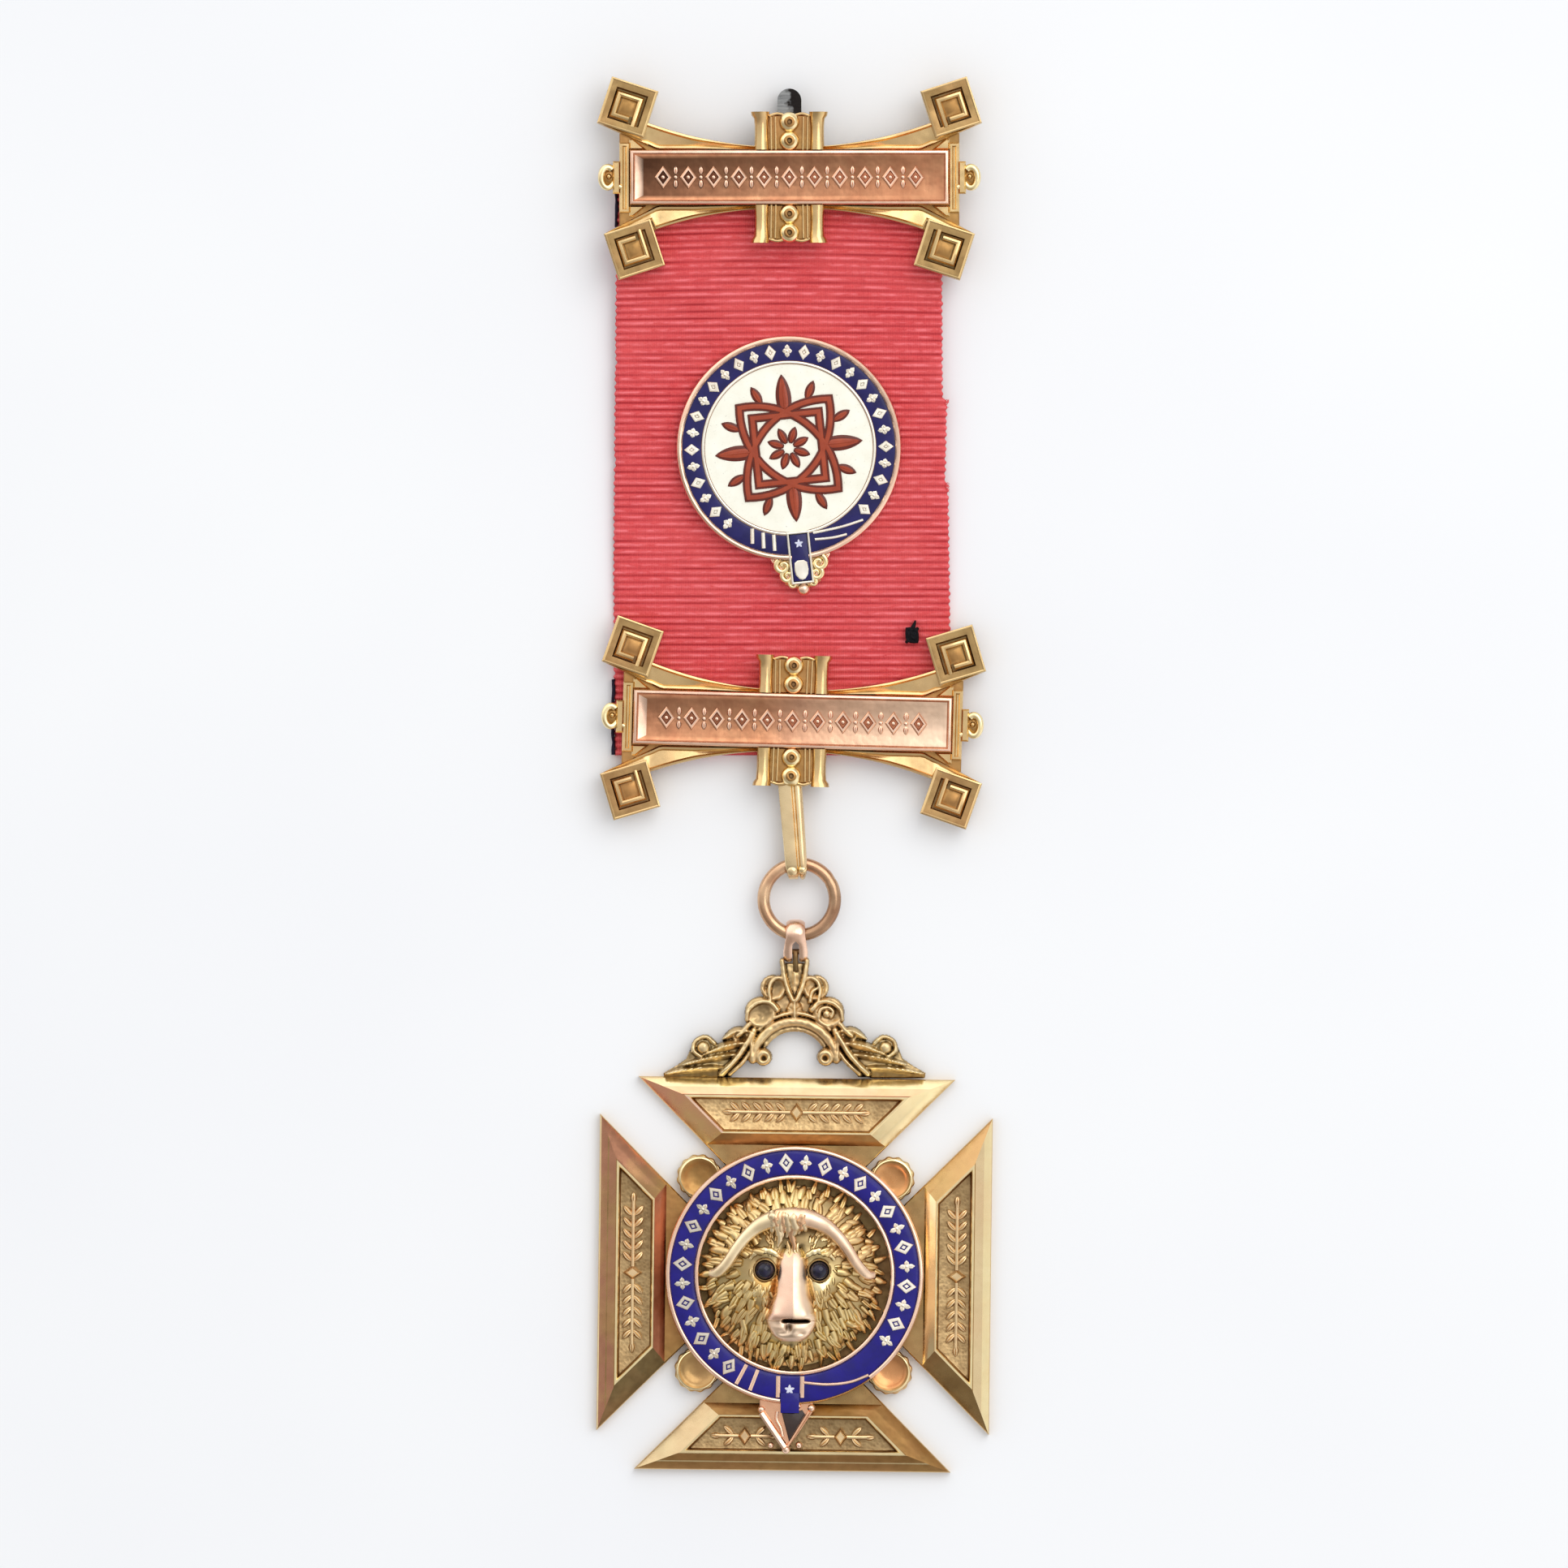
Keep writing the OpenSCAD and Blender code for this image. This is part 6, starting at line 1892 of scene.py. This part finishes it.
def beard(shape):
    """Locks that hang below the muzzle."""
    count = 16
    for k in range(count):
        x = -1.9 + 3.8 * (k + RNG.random() * 0.5) / count
        y = -6.0 - 1.1 * RNG.random()
        lock(shape, x, y, -90 + x * 6 + RNG.normal(0, 10), 1.1, 0.42, 0.4, "mane",
             RNG.normal(0, 15), 1)


def head():
    """Head with its mane, face hair, brows, lids and beard."""
    whole = Shape()
    head_form(whole)
    mane(whole)
    face_hair(whole)
    for side in (-1, 1):
        brow_and_lid(whole, side)
    beard(whole)
    at_face(whole, "head_and_mane", "yellow_gold", "buffalo_head")


def at_face(part, name, slot, node):
    """Lay a part in the face's own frame, on the cross."""
    return at_cross(part.placed((FACE_X, 0, 0)), name, slot, node, crease=60)


def horns():
    """Both horns as one swept rod, wrinkled near the middle, with the hair of their boss."""
    whole = Shape()
    right = spline(HORN, 8)
    path = np.vstack([right[:0:-1] * np.array([-1, 1, 1]), right])
    x, y, radii = path.T
    reach = np.concatenate([[0], np.cumsum(np.hypot(np.diff(x), np.diff(y)))])
    from_middle = np.abs(reach - reach[-1] / 2)
    wrinkle = 1 + 0.025 * np.sin(from_middle * 7) * (1 - smooth(from_middle, 0.8, 3.2))
    z = swell(x, y) + LOCK_H + radii * 0.9 + 0.17 + 0.13 * smooth(3.6 - np.abs(x), 0, 1.2)
    halves = ["horn" if value < 0 else "horn_rose" for value in x[:-1]]
    tube(whole, np.column_stack([x, y, z]), radii * wrinkle * 0.98, halves, 28, 0.9)
    boss_hair(whole)
    at_face(whole, "horn_pair", "rose_gold", "horns")


def boss_hair(shape):
    """Wavy strands that hang over the boss; a few are long and reach the nose."""
    count = 13
    extra = {3: 1.1, 4: 0.5, 8: 1.5, 9: 0.4}
    for k in range(count):
        start = -2.2 + 3.4 * (k + RNG.random()) / count
        high = 6.25 - 0.9 * RNG.random()
        full = float(bell(start, -0.5, 1.1))
        long = 0.9 + full + 0.5 * RNG.random() + extra.get(k, 0)
        ys = np.linspace(high, high - long, 14)
        wave = (0.08 + 0.1 * RNG.random()) * np.sin(ys * (2 + 2 * RNG.random()) + k * 1.7)
        zs = np.interp(ys, [2.4, 3.2, 4.2, 5.0, 5.7, 6.4], [4.95, 5.1, 5.45, 6.0, 6.34, 6.1])
        path = np.column_stack([start + wave, ys, zs + 0.12 * (RNG.random() - 0.5)])
        size = (0.3 + 0.13 * RNG.random()) * np.sin(np.linspace(0.6, 2.9, 14)) + 0.02
        knots = 1 + 0.14 * np.sin(ys * 9 + k)
        tube(shape, path, size * knots, ("horn", "horn", "peach")[k % 3], 12, 0.85,
             shade_and_darkening=0.3 * RNG.random())


def muzzle_row(y, half, crest, s):
    """Heights and painted shading across the nose at one place along it, for s from -1 to 1: painted shade
    in the nostril slit, the philtrum, a fold and under the lip, and darker towards the nose's top.
    """
    lip = smooth(-y, 4.1, 4.5)
    body = (1 - np.abs(s) ** 2.6) ** 0.5
    ridge = 1 - 0.24 * np.abs(s - 0.1) * (1 - lip)
    x = (half + 0.14 * smooth(y, -3.0, 0.5)) * s
    z = SEAT_Z + (crest - SEAT_Z) * body * ridge
    slit = bell(y, -4.3, 0.14) * smooth(1.45 - np.abs(x - 0.42), 0, 0.35)
    cleft = mound(x, y, -0.25, -5.0, 0.34, 0.5)
    z = z - 0.9 * slit * body - 0.55 * cleft
    z = z + 0.16 * mound(np.abs(x), y, 1.55, -3.75, 0.45, 0.55) * body
    z = z - 0.32 * mound(np.abs(x), y, 0.9, -5.5, 0.5, 0.25) * body
    fold = mound(x, y, -1.25, -4.55, 0.28, 0.3)
    chin = mound(x, y, -0.1, -5.75, 0.9, 0.22)
    shading_and_darkening = np.maximum(np.maximum(1.6 * slit, 1.1 * cleft), 0.3 * smooth(y, 1.0, 2.6))
    shading_and_darkening = np.maximum(shading_and_darkening, np.maximum(0.5 * fold, 0.45 * chin))
    return x, np.maximum(z, SEAT_Z), shading_and_darkening


def muzzle():
    """Polished nose: two planes that meet on a soft ridge, nostril slit, philtrum and lip."""
    s = np.linspace(-1, 1, 33)
    unshaded = np.zeros(len(s))
    loops = []
    shade_and_darkening = []
    for y, half, crest in spline(MUZZLE, 8):
        x, z, shading_and_darkening = muzzle_row(y, half, crest, s)
        flat = np.column_stack([x, np.full(len(s), y)])
        loops.append(np.vstack([lifted(flat, z), lifted(flat, SEAT_Z - 0.01)[::-1]]))
        shade_and_darkening += [shading_and_darkening, unshaded]
    whole = Shape()
    loft(whole, loops, "rose_satin", shade_and_darkening=np.clip(np.concatenate(shade_and_darkening), 0, 1))
    # The nose's top is laid in bright gold; its left plane above the lip in pale rose gold, a painted
    # reflection on the side turned left
    for i, (x, y) in enumerate(face_middles(whole)):
        if y > 2.0 + 0.25 * math.sin(5 * x):
            whole.kinds[i] = "gold_bright"
        elif x < 0.15 and y > -4.2:
            whole.kinds[i] = "rose_pale"
    nose_hair(whole)
    at_face(whole, "nose", "rose_gold", "muzzle")


def nose_hair(shape):
    """Four fine strands that end on the top of the nose."""
    for k in range(4):
        x = -0.66 + 0.42 * k + RNG.normal(0, 0.08)
        ys = np.linspace(3.4 - 0.4 * RNG.random(), 2.25 - 0.5 * RNG.random(), 12)
        crest = np.interp(ys, [0.2, 1.6, 2.6, 3.3], [5.65, 5.25, 4.98, 4.92])
        body = np.sqrt(1 - np.clip(abs(x) / 1.15, 0, 1) ** 2.6) * smooth(2.7 - ys, 0, 0.8)
        zs = np.maximum(4.95, SEAT_Z + (crest - SEAT_Z) * (0.9 + 0.1 * body)) - 0.2 * abs(x)
        size = (0.13 + 0.05 * RNG.random()) * np.sin(np.linspace(0.3, 3.0, 12)) + 0.012
        tube(shape, np.column_stack([x + 0.1 * np.sin(3 * ys + k), ys, zs]), size,
             ("gold_bright", "mane", "horn")[k % 3], 8, 0.7)


def eyes():
    """Two glass cabochons."""
    ball = [(EYE_R * math.cos(a), EYE_R * math.sin(a))
            for a in np.radians(np.linspace(-80, 86, 18))]
    for side, node in ((-1, "left_eye"), (1, "right_eye")):
        part = Shape()
        knob(part, (side * EYE[0], EYE[1], EYE[2]), ball, "eye", 32)
        at_face(part, node + "_glass", "eye_glass", node)


# Setting

def steel_pin():
    """The CAD fitting stays; it gets its steel and a soft edge."""
    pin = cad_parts["brooch_pin"]
    for held in pin.material_slots:
        held.material = FINISH["steel"]
    edge = pin.modifiers.new("soft edge", "BEVEL")
    edge.width = 0.06 * MM
    edge.segments = 2
    edge.limit_method = "ANGLE"
    edge.angle_limit = math.radians(40)


def surface():
    """Plain pale floor."""
    half = 0.6
    mesh = bpy.data.meshes.new("floor")
    mesh.from_pydata([(x, y, 0) for x, y in box_outline(-half, half, -half, half)], [],
                     [(0, 1, 2, 3)])
    floor = bpy.data.objects.new("floor", mesh)
    bpy.context.collection.objects.link(floor)
    g = Graph("pale paper")
    tone = g.spread(g.noise(60, 2), 0.0, 1.0)
    g.set(Base_Color=g.blend(tone, (0.86, 0.86, 0.87, 1), (0.89, 0.89, 0.89, 1)))
    g.set(Roughness=0.9, Specular_IOR_Level=0.1)
    mesh.materials.append(g.owner)


def sky(g):
    """Colour of the tent by direction: brightest from the upper right, dark low on the left."""
    x, y, _ = g.split()
    total = SKY_LEVEL
    for share, a, b in ((0.03, x, 1.0), (0.16, y, 1.0), (-0.4, x, y)):
        term = g.combine("MULTIPLY", g.combine("MULTIPLY", a, b), share)
        total = g.combine("ADD", term, total)
    ramp = g.node("ShaderNodeValToRGB", {"Fac": total})
    stops = ramp.color_ramp.elements
    while len(stops) < len(SKY_STOPS):
        stops.new(0.5)
    for stop, (place, colour) in zip(stops, SKY_STOPS):
        stop.position = place
        stop.color = (*colour, 1)
    return ramp.outputs["Color"]


def studio():
    """Soft tent light: a shaded sky that the metal mirrors, and a plain one that lights."""
    world = bpy.data.worlds.new("tent")
    bpy.context.scene.world = world
    world.use_nodes = True
    world.node_tree.nodes.clear()
    g = Graph(world, "Generated")
    gloss = g.node("ShaderNodeBackground", {"Color": sky(g), "Strength": 2.0})
    plain = g.node("ShaderNodeBackground", {"Color": (0.95, 0.97, 1.0, 1), "Strength": 0.86})
    ray = g.node("ShaderNodeLightPath", {}).outputs["Is Glossy Ray"]
    mix = g.node("ShaderNodeMixShader", {0: ray, 1: plain.outputs[0], 2: gloss.outputs[0]})
    g.node("ShaderNodeOutputWorld", {"Surface": mix.outputs[0]})


def lamp():
    """A square soft lamp, up to the right and turned towards the middle."""
    light = bpy.data.lights.new("key", "AREA")
    light.size = LAMP_SIZE
    light.energy = LAMP_POWER
    light.color = LAMP_COLOUR
    made = bpy.data.objects.new("key", light)
    made.location = LAMP_AT
    x, y, z = LAMP_AT
    made.rotation_euler = (math.acos(z / math.hypot(x, y, z)), 0, math.atan2(x, -y))
    bpy.context.collection.objects.link(made)


def camera():
    """Straight above, at the photograph's framing."""
    lens = bpy.data.cameras.new("camera")
    lens.sensor_width = 36
    lens.lens = lens.sensor_width * VIEW_HEIGHT / (PHOTO_WIDTH * PIXEL)
    lens.clip_start = 0.01
    eye = bpy.data.objects.new("camera", lens)
    eye.location = (VIEW_AT[0] * MM, VIEW_AT[1] * MM, VIEW_HEIGHT * MM)
    bpy.context.collection.objects.link(eye)
    bpy.context.scene.camera = eye


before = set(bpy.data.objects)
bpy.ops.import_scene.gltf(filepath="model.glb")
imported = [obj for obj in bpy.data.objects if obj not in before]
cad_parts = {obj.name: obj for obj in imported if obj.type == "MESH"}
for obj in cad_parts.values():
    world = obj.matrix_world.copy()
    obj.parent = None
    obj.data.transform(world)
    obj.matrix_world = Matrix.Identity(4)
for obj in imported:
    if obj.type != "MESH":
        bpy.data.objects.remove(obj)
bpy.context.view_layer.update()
bpy.context.scene.view_settings.view_transform = "Standard"
FINISH = make_materials()
camera()
studio()
lamp()
surface()
steel_pin()
bar("top_bar_gold", "top_bar", BAR_TOP, 0, KEY_TOP_LOWER)
plaque("top_plaque_rose", "top_plaque", BAR_TOP, 0, 0.95)
bar("lower_bar_gold", "lower_bar", BAR_LOW, BAR_LOW_TURN, KEY_LOWER)
plaque("lower_plaque_rose", "lower_plaque", BAR_LOW, BAR_LOW_TURN, 0.5)
ribbon()
thread_knot()
edge_threads()
badge_rims()
badge_enamels()
links()
cresting()
cross()
garter()
head()
horns()
muzzle()
eyes()
